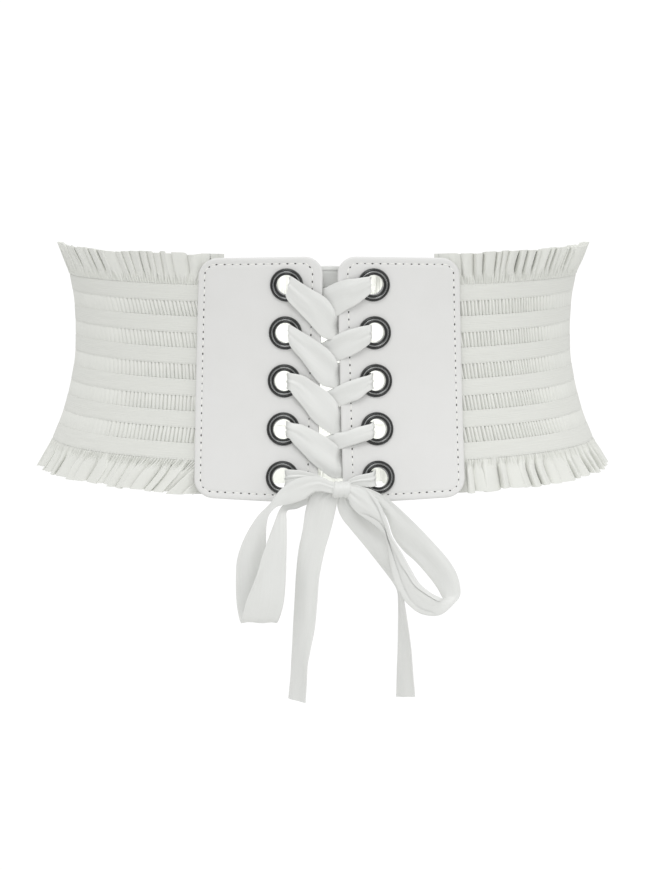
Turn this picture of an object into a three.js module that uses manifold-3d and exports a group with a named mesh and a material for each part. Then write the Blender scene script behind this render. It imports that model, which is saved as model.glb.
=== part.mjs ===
/**
 * Corset belt with two laced front panels and a wide gathered elastic band.
 * Millimetres, +Z up, front towards -Y, origin at the centre of the waist line.
 */
import * as THREE from 'three';
import { mergeVertices } from 'three/addons/utils/BufferGeometryUtils.js';
import Module from 'manifold-3d';

const wasm = await Module();
wasm.setup();

// Waist and the levels of the two seams and the two ruffle rims, at the side of the body
const WAIST_HALF_WIDTH = 121.2;
const WAIST_HALF_DEPTH = 91;
const DEPTH_FLARE = 0.5;
const TOP_SEAM = 28.3;
const BAND_HEIGHT = 81.8;
const TOP_DIP_FRONT = 3.3;
const BOTTOM_DIP_FRONT = 6;
const DIP_BACK = 15.6;
const SIDE_ROUNDING = 0.15;

// Cloth, elastic and leather, from the body outwards
const CLOTH = 1.4;
const ELASTIC = 0.8;
const LEATHER = 2;
const PIECE_GAP = 0.35;
const ELASTIC_OUT = CLOTH + PIECE_GAP;
const PANEL_OUT = ELASTIC_OUT + ELASTIC + PIECE_GAP;
const PANEL_FACE = PANEL_OUT + LEATHER;

// Gathered band and the flat elastic strips stitched round it
const STRIP_COUNT = 6;
const STRIP_SHARE = 0.525;
const BAND_TUCK = 8;
const BAND_STEPS = 34;
const GATHER_DEPTH = 1.1;

// Ruffles
const TOP_RUFFLE = {
  upward: 1, reach: 15.3, frontReach: 15.3, lean: 5.4, frontLean: 4, swing: 1.7, pleats: 92,
};
const BOTTOM_RUFFLE = {
  upward: -1, reach: 13.4, frontReach: 16.2, lean: 7, frontLean: 3.6, swing: 2.1, pleats: 78,
};
const RUFFLE_FADE = 12;
const RIM_WANDER = 0.7;

// Front panels
const PANEL_WIDTH = 57.7;
const PANEL_HEIGHT = 118.1;
const PANEL_TOP = 39.8;
const TOP_FALL = 1.2;
const BOTTOM_RISE = 2.7;
const GAP_AT_TOP = 6.4;
const GAP_AT_BOTTOM = 12;
const CORNER_RADIUS = 9;
const PANEL_COLUMNS = 6;
const PANEL_ROWS = 7;

// Eyelets
const EYELET_COUNT = 5;
const EYELET_PITCH = 23.3;
const EYELET_DROP = 13.4;
const EYELET_INSET = 16.6;
const EYELET_RADIUS = 8;
const HOLE_RADIUS = 4.8;
const BARREL_WALL = 0.7;
const FLANGE_RISE = 1.2;
const FLANGE_SEAT = 0.5;
const FLANGE_BACK = 0.8;
const EYELET_SIDES = 14;

// Satin ribbon, its bow and its knot
const RIBBON_WIDTH = 16;
const RIBBON = 0.8;
const BUNCHED = 1.4;
const HOLE_FILL = 0.8;
const KNOT_WIDTH = 8.7;
const KNOT_HEIGHT = 8;
const KNOT_DEPTH = 8;
const KNOT_SHIFT = 5.6;
const KNOT_DROP = 5;
const BOW_SPREAD = 96;
const BOW_LENGTH = 101;
const BOW_LIFT = 11;

// Outward flare of the body, as a share of the waist half width, down the band
const FLARE = [
  { down: -0.2, share: 0.053 },
  { down: 0, share: 0.0235 },
  { down: 0.16, share: 0.0055 },
  { down: 0.33, share: 0 },
  { down: 0.5, share: 0.0035 },
  { down: 0.66, share: 0.022 },
  { down: 0.83, share: 0.052 },
  { down: 1, share: 0.097 },
  { down: 1.25, share: 0.165 },
];

// Strand from a left eyelet over to the next right one: shares of the way, of the drop and of the ribbon
const OVER_STRAND = [
  { across: 0.24, drop: 0.34, out: 1.4, wide: 0.72, lean: 0.6 },
  { across: 0.41, drop: 0.69, out: 1.35, wide: 0.9, lean: 0.1 },
  { across: 0.5, drop: 0.8, out: 0.2, wide: 0.7, lean: 0 },
  { across: 0.575, drop: 0.88, out: -2.9, wide: 0.64, lean: 0 },
  { across: 0.68, drop: 0.91, out: -3.5, wide: 0.6, lean: 0 },
];

// Strand from a right eyelet, which passes under the left one in the gap
const UNDER_STRAND = [
  { across: 0.24, drop: 0.15, out: 1.4, wide: 0.74, lean: 0.3 },
  { across: 0.41, drop: 0.26, out: 1.2, wide: 0.84, lean: 0 },
  { across: 0.5, drop: 0.33, out: -1.6, wide: 0.84, lean: 0 },
  { across: 0.575, drop: 0.4, out: -3.1, wide: 0.86, lean: 0 },
  { across: 0.72, drop: 0.6, out: -3.7, wide: 0.7, lean: 0.4 },
];

// Way of the ribbon through an eyelet: shares of the eyelet radius towards the gap, then outwards
const THROUGH_HOLE = [
  { inward: 0.95, out: -4.4, wide: 0.54 },
  { inward: 0.4, out: -4.5, wide: 0.5 },
  { inward: 0.13, out: -3.1, wide: 0.48 },
  { inward: 0.1, out: 0.2, wide: 0.48 },
  { inward: 0.24, out: 2, wide: 0.5 },
  { inward: 0.75, out: 2.95, wide: 0.56 },
];

// Bow pieces from the knot: shares of the spread, the length, the lift and the ribbon, with turns in radians
const LEFT_LOOP = [
  { side: -0.055, drop: -0.01, lift: 0.6, wide: 0.4, lean: 1.5, yaw: 0 },
  { side: -0.126, drop: -0.031, lift: 0.68, wide: 0.47, lean: 1.6, yaw: 0 },
  { side: -0.228, drop: 0, lift: 0.74, wide: 0.6, lean: 1.2, yaw: 0 },
  { side: -0.311, drop: 0.043, lift: 0.68, wide: 0.58, lean: 0.9, yaw: 0.3 },
  { side: -0.385, drop: 0.127, lift: 0.54, wide: 0.46, lean: 0.6, yaw: 0.5 },
  { side: -0.435, drop: 0.24, lift: 0.42, wide: 0.66, lean: 0.3, yaw: 0.3 },
  { side: -0.457, drop: 0.371, lift: 0.38, wide: 0.85, lean: 0.1, yaw: 0.1 },
  { side: -0.45, drop: 0.513, lift: 0.36, wide: 0.95, lean: 0, yaw: 0 },
  { side: -0.416, drop: 0.618, lift: 0.55, wide: 1, lean: -0.05, yaw: 0 },
  { side: -0.405, drop: 0.6, lift: 0.85, wide: 1, lean: -0.05, yaw: 0 },
  { side: -0.376, drop: 0.51, lift: 0.98, wide: 0.98, lean: 0, yaw: 0 },
  { side: -0.356, drop: 0.405, lift: 1, wide: 0.92, lean: 0, yaw: -0.2 },
  { side: -0.334, drop: 0.254, lift: 0.9, wide: 0.7, lean: 0, yaw: -0.3 },
  { side: -0.305, drop: 0.152, lift: 0.64, wide: 0.42, lean: 0.2, yaw: -0.2 },
  { side: -0.255, drop: 0.106, lift: 0.46, wide: 0.34, lean: 0.9, yaw: 0 },
  { side: -0.183, drop: 0.07, lift: 0.38, wide: 0.32, lean: 1.4, yaw: 0 },
  { side: -0.055, drop: 0.026, lift: 0.34, wide: 0.3, lean: 1.5, yaw: 0 },
];
const RIGHT_LOOP = [
  { side: 0.055, drop: 0.008, lift: 0.62, wide: 0.42, lean: 1.5, yaw: 0 },
  { side: 0.094, drop: 0.05, lift: 0.72, wide: 0.6, lean: 1.3, yaw: 0.1 },
  { side: 0.153, drop: 0.09, lift: 0.84, wide: 0.66, lean: 1.2, yaw: 0.1 },
  { side: 0.198, drop: 0.146, lift: 0.9, wide: 0.6, lean: 0.9, yaw: 0.3 },
  { side: 0.238, drop: 0.221, lift: 0.92, wide: 0.5, lean: 0.5, yaw: 0.9 },
  { side: 0.268, drop: 0.311, lift: 0.95, wide: 0.6, lean: 0.4, yaw: 0.7 },
  { side: 0.292, drop: 0.381, lift: 0.98, wide: 0.7, lean: 0.4, yaw: 0.5 },
  { side: 0.331, drop: 0.456, lift: 1, wide: 0.8, lean: 0.6, yaw: 0.4 },
  { side: 0.39, drop: 0.513, lift: 1, wide: 0.9, lean: 0.9, yaw: 0.3 },
  { side: 0.466, drop: 0.552, lift: 0.9, wide: 0.96, lean: 1, yaw: 0.2 },
  { side: 0.528, drop: 0.528, lift: 0.7, wide: 1, lean: 0.95, yaw: 0.1 },
  { side: 0.54, drop: 0.484, lift: 0.52, wide: 0.98, lean: 0.75, yaw: 0 },
  { side: 0.509, drop: 0.414, lift: 0.42, wide: 0.95, lean: 0.7, yaw: -0.2 },
  { side: 0.446, drop: 0.339, lift: 0.36, wide: 0.93, lean: 0.7, yaw: -0.2 },
  { side: 0.376, drop: 0.263, lift: 0.33, wide: 0.9, lean: 0.7, yaw: 0 },
  { side: 0.311, drop: 0.193, lift: 0.32, wide: 0.8, lean: 0.75, yaw: 0 },
  { side: 0.248, drop: 0.108, lift: 0.32, wide: 0.66, lean: 0.9, yaw: 0 },
  { side: 0.189, drop: 0.051, lift: 0.32, wide: 0.5, lean: 1.2, yaw: 0 },
  { side: 0.119, drop: 0.005, lift: 0.34, wide: 0.42, lean: 1.5, yaw: 0 },
  { side: 0.055, drop: -0.014, lift: 0.34, wide: 0.36, lean: 1.55, yaw: 0 },
];
const LEFT_TAIL = [
  { side: -0.025, drop: 0.05, lift: 0.26, wide: 0.44, lean: 0.3, yaw: 0 },
  { side: -0.095, drop: 0.12, lift: 0.22, wide: 0.75, lean: 0.2, yaw: 0 },
  { side: -0.133, drop: 0.226, lift: 0.28, wide: 0.78, lean: 0.1, yaw: 0.1 },
  { side: -0.158, drop: 0.325, lift: 0.36, wide: 0.74, lean: 0.1, yaw: 0.2 },
  { side: -0.173, drop: 0.438, lift: 0.4, wide: 0.76, lean: 0, yaw: 0.5 },
  { side: -0.183, drop: 0.602, lift: 0.4, wide: 0.8, lean: 0, yaw: 0.6 },
  { side: -0.198, drop: 0.725, lift: 0.4, wide: 0.85, lean: 0, yaw: 0.8 },
  { side: -0.208, drop: 0.809, lift: 0.4, wide: 0.9, lean: 0, yaw: 1 },
  { side: -0.21, drop: 0.898, lift: 0.4, wide: 0.92, lean: 0, yaw: 1.05 },
  { side: -0.223, drop: 1.002, lift: 0.4, wide: 0.95, lean: 0, yaw: 1.05 },
];
const RIGHT_TAIL = [
  { side: 0.02, drop: 0.056, lift: 0.26, wide: 0.36, lean: 0.7, yaw: 0 },
  { side: 0.05, drop: 0.123, lift: 0.2, wide: 0.6, lean: 0.7, yaw: 0 },
  { side: 0.099, drop: 0.183, lift: 0.24, wide: 0.66, lean: 0.7, yaw: 0 },
  { side: 0.169, drop: 0.268, lift: 0.28, wide: 0.66, lean: 0.7, yaw: 0 },
  { side: 0.238, drop: 0.362, lift: 0.3, wide: 0.6, lean: 0.6, yaw: 0.1 },
  { side: 0.288, drop: 0.465, lift: 0.32, wide: 0.5, lean: 0.3, yaw: 0.5 },
  { side: 0.297, drop: 0.522, lift: 0.34, wide: 0.45, lean: 0.1, yaw: 1.1 },
  { side: 0.307, drop: 0.631, lift: 0.36, wide: 0.6, lean: 0, yaw: 1 },
  { side: 0.317, drop: 0.757, lift: 0.4, wide: 0.75, lean: 0, yaw: 0.8 },
  { side: 0.318, drop: 0.992, lift: 0.4, wide: 0.95, lean: 0, yaw: 0.9 },
];

const LEATHER_FINISH = new THREE.MeshStandardMaterial({ color: 0xe6e6e4, roughness: 0.5, metalness: 0 });
const CLOTH_FINISH = new THREE.MeshStandardMaterial({ color: 0xdcdcd8, roughness: 0.9, metalness: 0 });
const ELASTIC_FINISH = new THREE.MeshStandardMaterial({ color: 0xd6d7d2, roughness: 0.85, metalness: 0 });
const SATIN_FINISH = new THREE.MeshStandardMaterial({ color: 0xe4e4de, roughness: 0.35, metalness: 0 });
const METAL_FINISH = new THREE.MeshStandardMaterial({ color: 0x3b3d3c, roughness: 0.35, metalness: 1 });

const group = new THREE.Group();
group.name = 'corset_belt';

/** Adds one named piece. */
function addPiece(name, geometry, finish) {
  geometry.computeVertexNormals();
  const mesh = new THREE.Mesh(geometry, finish);
  mesh.name = name;
  group.add(mesh);
}

/** Value of a column between the rows of a table, by the column it is ordered by. */
function between(rows, orderedBy, column, place) {
  const last = rows.length - 2;
  let index = rows.findIndex((row) => row[orderedBy] > place) - 1;
  index = index < -1 ? last : Math.min(Math.max(index, 0), last);
  const from = rows[index];
  const to = rows[index + 1];
  const share = (place - from[orderedBy]) / (to[orderedBy] - from[orderedBy]);
  return THREE.MathUtils.lerp(from[column], to[column], share);
}

/** How far round from the side towards the front or the back, from 0 to 1. */
function awayFromSide(angle) {
  const whole = Math.hypot(1, SIDE_ROUNDING) - SIDE_ROUNDING;
  return (Math.hypot(Math.cos(angle), SIDE_ROUNDING) - SIDE_ROUNDING) / whole;
}

/** Height of the top seam at an angle round the body, 0 at the front. */
function topSeam(angle) {
  const dip = Math.cos(angle) > 0 ? TOP_DIP_FRONT : DIP_BACK;
  return TOP_SEAM - dip * awayFromSide(angle);
}

/** Height of the bottom seam at an angle round the body. */
function bottomSeam(angle) {
  const dip = Math.cos(angle) > 0 ? BOTTOM_DIP_FRONT : DIP_BACK;
  return TOP_SEAM - BAND_HEIGHT - dip * awayFromSide(angle);
}

/** Horizontal direction away from the body at an angle. */
function outward(angle) {
  const x = WAIST_HALF_DEPTH * Math.sin(angle);
  const y = -WAIST_HALF_WIDTH * Math.cos(angle);
  return new THREE.Vector3(x, y, 0).normalize();
}

/** Point on the body at an angle and a share of the band height, moved outwards. */
function onBody(angle, down, out) {
  const widen = between(FLARE, 'down', 'share', down);
  const point = new THREE.Vector3(
    WAIST_HALF_WIDTH * (1 + widen) * Math.sin(angle),
    -WAIST_HALF_DEPTH * (1 + widen * DEPTH_FLARE) * Math.cos(angle),
    THREE.MathUtils.lerp(topSeam(angle), bottomSeam(angle), down),
  );
  return point.addScaledVector(outward(angle), out);
}

/** Angle and share of the band height of a point seen from the front. */
function seenFromFront(x, z) {
  const guess = Math.asin(THREE.MathUtils.clamp(x / WAIST_HALF_WIDTH, -1, 1));
  const down = (topSeam(guess) - z) / (topSeam(guess) - bottomSeam(guess));
  const widen = between(FLARE, 'down', 'share', down);
  return { angle: Math.asin(THREE.MathUtils.clamp(x / (WAIST_HALF_WIDTH * (1 + widen)), -1, 1)), down };
}

/** Point over the front at a place across and up, moved outwards. */
function onFront(x, z, out) {
  const { angle, down } = seenFromFront(x, z);
  return onBody(angle, down, out);
}

/** Turns the faces outwards where they enclose a negative volume. */
function facedOut(positions, faces) {
  const at = (index) => new THREE.Vector3().fromArray(positions, 3 * index);
  let volume = 0;
  for (let face = 0; face < faces.length; face += 3) {
    volume += at(faces[face]).dot(at(faces[face + 1]).cross(at(faces[face + 2])));
  }
  const geometry = new THREE.BufferGeometry();
  geometry.setAttribute('position', new THREE.Float32BufferAttribute(positions, 3));
  geometry.setIndex(volume < 0 ? [...faces].reverse() : faces);
  return geometry;
}

/** Closed wall through a row of loops, each running out along one face and back along the other. */
function wallThrough(loops) {
  const size = loops[0].length;
  const positions = loops.flat().flatMap((point) => point.toArray());
  const faces = [];
  const addQuad = (a, b, c, d) => faces.push(a, b, c, a, c, d);
  for (let loop = 0; loop < loops.length - 1; loop += 1) {
    for (let step = 0; step < size; step += 1) {
      const here = loop * size + step;
      const next = loop * size + ((step + 1) % size);
      addQuad(here, next, next + size, here + size);
    }
  }
  const end = (loops.length - 1) * size;
  for (let step = 0; step < size / 2 - 1; step += 1) {
    addQuad(step, size - 1 - step, size - 2 - step, step + 1);
    addQuad(end + step, end + step + 1, end + size - 2 - step, end + size - 1 - step);
  }
  return facedOut(positions, faces);
}

/** Angle at which the band starts behind the panel. */
function bandStart() {
  return Math.asin((GAP_AT_TOP / 2 + PANEL_WIDTH - BAND_TUCK) / WAIST_HALF_WIDTH);
}

/** Angle at a share of the way round the band. */
function bandAngle(share) {
  return THREE.MathUtils.lerp(bandStart(), 2 * Math.PI - bandStart(), share);
}

/** Gathered cloth band, drawn in between its ribs. */
function gatheredBand() {
  const rows = FLARE.map((row) => row.down).filter((down) => down >= 0 && down <= 1);
  const loops = [];
  for (let step = 0; step <= 2 * BAND_STEPS; step += 1) {
    const angle = bandAngle(step / (2 * BAND_STEPS));
    const inset = step % 2 === 0 ? 0 : -GATHER_DEPTH;
    const face = rows.map((down) => onBody(angle, down, CLOTH + inset));
    const back = rows.map((down) => onBody(angle, down, inset));
    loops.push([...face, ...back.reverse()]);
  }
  return wallThrough(loops);
}

/** Flat elastic strip between two shares of the band height. */
function elasticStrip(from, to) {
  const loops = [];
  for (let step = 0; step <= BAND_STEPS; step += 1) {
    const angle = bandAngle(step / BAND_STEPS);
    const corners = [[from, ELASTIC], [to, ELASTIC], [to, 0], [from, 0]];
    loops.push(corners.map(([down, out]) => onBody(angle, down, ELASTIC_OUT + out)));
  }
  return wallThrough(loops);
}

/** Share of its full swing that a ruffle has at an angle, from nothing behind a panel. */
function ruffleShare(angle) {
  const edge = GAP_AT_BOTTOM / 2 + PANEL_WIDTH;
  const across = Math.abs(WAIST_HALF_WIDTH * Math.sin(angle));
  return Math.cos(angle) < 0 ? 1 : THREE.MathUtils.smoothstep(across, edge, edge + RUFFLE_FADE);
}

/** Pleated ruffle standing out from one of the seams. */
function pleatedRuffle(ruffle) {
  const down = ruffle.upward > 0 ? 0 : 1;
  const loops = [];
  for (let step = 0; step <= 2 * ruffle.pleats; step += 1) {
    const angle = bandAngle(step / (2 * ruffle.pleats));
    const share = ruffleShare(angle);
    const uneven = 0.75 + 0.25 * Math.sin(1.7 * step);
    const fold = step % 2 === 0 ? ruffle.swing : -ruffle.swing;
    const forward = awayFromSide(angle);
    const reach = THREE.MathUtils.lerp(ruffle.reach, ruffle.frontReach, forward);
    const lean = THREE.MathUtils.lerp(ruffle.lean, ruffle.frontLean, forward);
    const away = outward(angle);
    const root = onBody(angle, down, 0);
    root.z += ruffle.upward * PIECE_GAP;
    const tip = root.clone().addScaledVector(away, share * (lean + fold * uneven));
    tip.z += ruffle.upward * (reach + share * RIM_WANDER * Math.sin(2.3 * step));
    const face = [root, tip].map((point) => point.clone().addScaledVector(away, CLOTH));
    loops.push([face[0], face[1], tip, root]);
  }
  return wallThrough(loops);
}

/** Place on a panel, in millimetres from its inner edge and its top, mirrored by side. */
function onPanel(side, across, down) {
  const share = down / PANEL_HEIGHT;
  const outer = across / PANEL_WIDTH;
  const top = PANEL_TOP - TOP_FALL * outer;
  const bottom = PANEL_TOP - PANEL_HEIGHT + BOTTOM_RISE * outer;
  const inner = THREE.MathUtils.lerp(GAP_AT_TOP, GAP_AT_BOTTOM, share) / 2;
  return { x: side * (inner + across), z: THREE.MathUtils.lerp(top, bottom, share) };
}

/** Centre of an eyelet, counted from the top. */
function eyeletSpot(side, row) {
  return onPanel(side, EYELET_INSET, EYELET_DROP + row * EYELET_PITCH);
}

/** Direction square to the leather at a place seen from the front. */
function squareToFront(x, z, reach) {
  const sideways = onFront(x + reach, z, PANEL_OUT).sub(onFront(x - reach, z, PANEL_OUT));
  const upwards = onFront(x, z + reach, PANEL_OUT).sub(onFront(x, z - reach, PANEL_OUT));
  return sideways.cross(upwards).normalize();
}

/** Turns and moves a piece made along Y so that it stands in an eyelet hole. */
function intoHole(geometry, side, row) {
  const { x, z } = eyeletSpot(side, row);
  const away = squareToFront(x, z, EYELET_RADIUS);
  const turn = new THREE.Quaternion().setFromUnitVectors(new THREE.Vector3(0, -1, 0), away);
  geometry.applyQuaternion(turn);
  const spot = onFront(x, z, PANEL_OUT);
  return geometry.translate(spot.x, spot.y, spot.z);
}

/** Geometry with equal corners counted once. */
function merged(geometry) {
  const plain = geometry.clone();
  plain.deleteAttribute('normal');
  plain.deleteAttribute('uv');
  return mergeVertices(plain);
}

/** Solid of a closed geometry, for cutting. */
function solidOf(geometry) {
  const plain = merged(geometry);
  return new wasm.Manifold(new wasm.Mesh({
    numProp: 3,
    vertProperties: new Float32Array(plain.getAttribute('position').array),
    triVerts: new Uint32Array(plain.index.array),
  }));
}

/** Geometry of a cut solid. */
function geometryOf(solid) {
  const mesh = solid.getMesh();
  const geometry = new THREE.BufferGeometry();
  geometry.setAttribute('position', new THREE.Float32BufferAttribute(mesh.vertProperties, 3));
  geometry.setIndex([...mesh.triVerts]);
  return geometry;
}

/** Curved leather sheet, larger than a panel all round. */
function leatherSheet(side) {
  const margin = CORNER_RADIUS / 3;
  const loops = [];
  for (let column = 0; column <= PANEL_COLUMNS; column += 1) {
    const across = THREE.MathUtils.lerp(-margin, PANEL_WIDTH + margin, column / PANEL_COLUMNS);
    const spots = [];
    for (let row = 0; row <= PANEL_ROWS; row += 1) {
      const down = THREE.MathUtils.lerp(-margin, PANEL_HEIGHT + margin, row / PANEL_ROWS);
      spots.push(onPanel(side, across, down));
    }
    const face = spots.map(({ x, z }) => onFront(x, z, PANEL_FACE));
    const back = spots.map(({ x, z }) => onFront(x, z, PANEL_OUT));
    loops.push([...face, ...back.reverse()]);
  }
  return wallThrough(loops);
}

/** Round-cornered outline of a panel, as a block through the leather along Y. */
function panelBlock(side) {
  const outline = [];
  const corners = [
    { across: CORNER_RADIUS, down: CORNER_RADIUS, from: Math.PI },
    { across: PANEL_WIDTH - CORNER_RADIUS, down: CORNER_RADIUS, from: 1.5 * Math.PI },
    { across: PANEL_WIDTH - CORNER_RADIUS, down: PANEL_HEIGHT - CORNER_RADIUS, from: 0 },
    { across: CORNER_RADIUS, down: PANEL_HEIGHT - CORNER_RADIUS, from: 0.5 * Math.PI },
  ];
  const steps = 5;
  for (const corner of corners) {
    for (let step = 0; step <= steps; step += 1) {
      const turn = corner.from + (step / steps) * 0.5 * Math.PI;
      const across = corner.across + CORNER_RADIUS * Math.cos(turn);
      const down = corner.down + CORNER_RADIUS * Math.sin(turn);
      const { x, z } = onPanel(side, across, down);
      outline.push(new THREE.Vector2(x, z));
    }
  }
  const block = new THREE.ExtrudeGeometry(new THREE.Shape(outline), {
    depth: 2 * WAIST_HALF_DEPTH,
    bevelEnabled: false,
  });
  return block.rotateX(0.5 * Math.PI);
}

/** Leather panel with its eyelet holes punched. */
function frontPanel(side) {
  let panel = solidOf(leatherSheet(side)).intersect(solidOf(panelBlock(side)));
  const punchRadius = HOLE_RADIUS + BARREL_WALL + PIECE_GAP;
  for (let row = 0; row < EYELET_COUNT; row += 1) {
    const punch = new THREE.CylinderGeometry(punchRadius, punchRadius, 6 * LEATHER, EYELET_SIDES);
    panel = panel.subtract(solidOf(intoHole(punch, side, row)));
  }
  return geometryOf(panel);
}

/** Rolled metal eyelet with a domed front flange, a barrel and a thin back flange. */
function rolledEyelet(side, row) {
  const barrel = HOLE_RADIUS + BARREL_WALL;
  const front = LEATHER + FLANGE_SEAT;
  const back = -FLANGE_SEAT;
  const mid = (HOLE_RADIUS + EYELET_RADIUS) / 2;
  const profile = [
    [HOLE_RADIUS, back - FLANGE_BACK],
    [EYELET_RADIUS - BARREL_WALL, back - FLANGE_BACK],
    [EYELET_RADIUS - BARREL_WALL, back],
    [barrel, back],
    [barrel, front],
    [EYELET_RADIUS, front],
    [mid, front + FLANGE_RISE],
    [HOLE_RADIUS, front + FLANGE_RISE / 2],
    [HOLE_RADIUS, back - FLANGE_BACK],
  ].map(([radius, height]) => new THREE.Vector2(radius, -height));
  const ring = merged(new THREE.LatheGeometry(profile, EYELET_SIDES));
  return intoHole(facedOut([...ring.getAttribute('position').array], [...ring.index.array]), side, row);
}

/** Flat ribbon through stations that hold a centre, a width direction, a width and a thickness. */
function ribbonThrough(stations) {
  const loops = stations.map((station, index) => {
    const before = stations[Math.max(index - 1, 0)].centre;
    const after = stations[Math.min(index + 1, stations.length - 1)].centre;
    const along = after.clone().sub(before).normalize();
    const across = station.across.clone().multiplyScalar(station.wide / 2);
    const thick = station.across.clone().cross(along).normalize().multiplyScalar(station.thick / 2);
    const corner = (acrossSign, thickSign) => station.centre.clone()
      .addScaledVector(across, acrossSign)
      .addScaledVector(thick, thickSign);
    return [corner(1, 1), corner(-1, 1), corner(-1, -1), corner(1, -1)];
  });
  return wallThrough(loops);
}

/** Station of the lacing at a place seen from the front, out from the leather's face. */
function laceStation(x, z, out, wide, thick, lean) {
  return {
    centre: onFront(x, z, PANEL_FACE + out),
    across: new THREE.Vector3(Math.sin(lean), 0, Math.cos(lean))
      .projectOnPlane(squareToFront(x, z, RIBBON_WIDTH / 2))
      .normalize(),
    wide,
    thick,
  };
}

/** Station of the lacing on its way through an eyelet. */
function holeStation(side, row, place) {
  const { x, z } = eyeletSpot(side, row);
  const away = squareToFront(x, z, EYELET_RADIUS);
  const up = new THREE.Vector3(0, 0, 1).projectOnPlane(away).normalize();
  const inward = up.clone().cross(away).multiplyScalar(-side);
  return {
    centre: onFront(x, z, PANEL_FACE)
      .addScaledVector(inward, place.inward * EYELET_RADIUS)
      .addScaledVector(away, place.out),
    across: up,
    wide: place.wide * RIBBON_WIDTH,
    thick: BUNCHED,
  };
}

/** Stations of one end of the ribbon, from the bar behind the top eyelets down to the knot. */
function laceStations(startSide) {
  const stations = [];
  for (let row = 0; row < EYELET_COUNT; row += 1) {
    const side = startSide * (row % 2 === 0 ? 1 : -1);
    const hole = eyeletSpot(side, row);
    stations.push(...THROUGH_HOLE.map((place) => holeStation(side, row, place)));
    if (row < EYELET_COUNT - 1) {
      const next = eyeletSpot(-side, row + 1);
      for (const place of side < 0 ? OVER_STRAND : UNDER_STRAND) {
        const x = THREE.MathUtils.lerp(hole.x, next.x, place.across);
        const z = THREE.MathUtils.lerp(hole.z, next.z, place.drop);
        const wide = place.wide * RIBBON_WIDTH;
        stations.push(laceStation(x, z, place.out, wide, RIBBON, -side * place.lean));
      }
    }
  }
  const last = startSide * (EYELET_COUNT % 2 === 0 ? -1 : 1);
  const hole = eyeletSpot(last, EYELET_COUNT - 1);
  const knot = knotCentre();
  const clear = hole.x - last * 1.3 * EYELET_RADIUS;
  const end = knot.x + last * KNOT_WIDTH / 8;
  for (const share of [0, 0.5, 1]) {
    const x = THREE.MathUtils.lerp(clear, end, share);
    const z = THREE.MathUtils.mapLinear(x, hole.x, end, hole.z, knot.z);
    stations.push(laceStation(x, z, 1.3 - share / 2, (HOLE_FILL - share / 3) * RIBBON_WIDTH, RIBBON, 0));
  }
  return stations;
}

/** Whole lacing: down the left start, back behind the top eyelets and down the right start. */
function laceRibbon() {
  const left = laceStations(-1);
  const right = laceStations(1);
  const top = eyeletSpot(1, 0);
  const bar = laceStation(0, top.z + 1, THROUGH_HOLE[0].out - BUNCHED, 0.62 * RIBBON_WIDTH, RIBBON, 0);
  return ribbonThrough([...left.reverse(), bar, ...right]);
}

/** Centre of the knot, in front of the panels. */
function knotCentre() {
  const lowest = eyeletSpot(1, EYELET_COUNT - 1);
  return onFront(KNOT_SHIFT, lowest.z - KNOT_DROP, PANEL_FACE + KNOT_DEPTH / 2 + PIECE_GAP + 2 * RIBBON);
}

/** Loop or tail of the bow, from a table of its way. */
function bowPiece(rows) {
  const knot = knotCentre();
  const base = knot.y + KNOT_DEPTH / 2;
  return ribbonThrough(rows.map((row) => ({
    centre: new THREE.Vector3(
      knot.x + row.side * BOW_SPREAD,
      base - row.lift * BOW_LIFT,
      knot.z - row.drop * BOW_LENGTH,
    ),
    across: new THREE.Vector3(
      Math.cos(row.yaw) * Math.cos(row.lean),
      -Math.sin(row.yaw),
      Math.cos(row.yaw) * Math.sin(row.lean),
    ),
    wide: row.wide * RIBBON_WIDTH,
    thick: RIBBON,
  })));
}

/** Soft knot that the loops and tails come out of. */
function bowKnot() {
  const knot = knotCentre();
  const sections = [
    { side: -0.5, size: 0.72 },
    { side: -0.36, size: 0.98 },
    { side: 0, size: 0.9 },
    { side: 0.36, size: 1 },
    { side: 0.5, size: 0.74 },
  ];
  const sides = 10;
  return wallThrough(sections.map(({ side, size }) => Array.from({ length: sides }, (unused, step) => {
    const turn = (2 * Math.PI * (step + 0.5)) / sides;
    return new THREE.Vector3(
      knot.x + side * KNOT_WIDTH,
      knot.y + size * (KNOT_DEPTH / 2) * Math.cos(turn),
      knot.z + size * (KNOT_HEIGHT / 2) * Math.sin(turn),
    );
  })));
}

addPiece('gathered_band', gatheredBand(), CLOTH_FINISH);
const bandUnit = 1 / (STRIP_COUNT - 1 + STRIP_SHARE);
for (let strip = 0; strip < STRIP_COUNT; strip += 1) {
  const from = strip * bandUnit;
  addPiece(`elastic_strip_${strip + 1}`, elasticStrip(from, from + STRIP_SHARE * bandUnit), ELASTIC_FINISH);
}
addPiece('top_ruffle', pleatedRuffle(TOP_RUFFLE), CLOTH_FINISH);
addPiece('bottom_ruffle', pleatedRuffle(BOTTOM_RUFFLE), CLOTH_FINISH);
for (const { word, side } of [{ word: 'left', side: -1 }, { word: 'right', side: 1 }]) {
  addPiece(`${word}_panel`, frontPanel(side), LEATHER_FINISH);
  for (let row = 0; row < EYELET_COUNT; row += 1) {
    addPiece(`${word}_eyelet_${row + 1}`, rolledEyelet(side, row), METAL_FINISH);
  }
}
addPiece('lace_ribbon', laceRibbon(), SATIN_FINISH);
addPiece('bow_knot', bowKnot(), SATIN_FINISH);
addPiece('bow_loop_left', bowPiece(LEFT_LOOP), SATIN_FINISH);
addPiece('bow_loop_right', bowPiece(RIGHT_LOOP), SATIN_FINISH);
addPiece('bow_tail_left', bowPiece(LEFT_TAIL), SATIN_FINISH);
addPiece('bow_tail_right', bowPiece(RIGHT_TAIL), SATIN_FINISH);

export default group;
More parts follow.
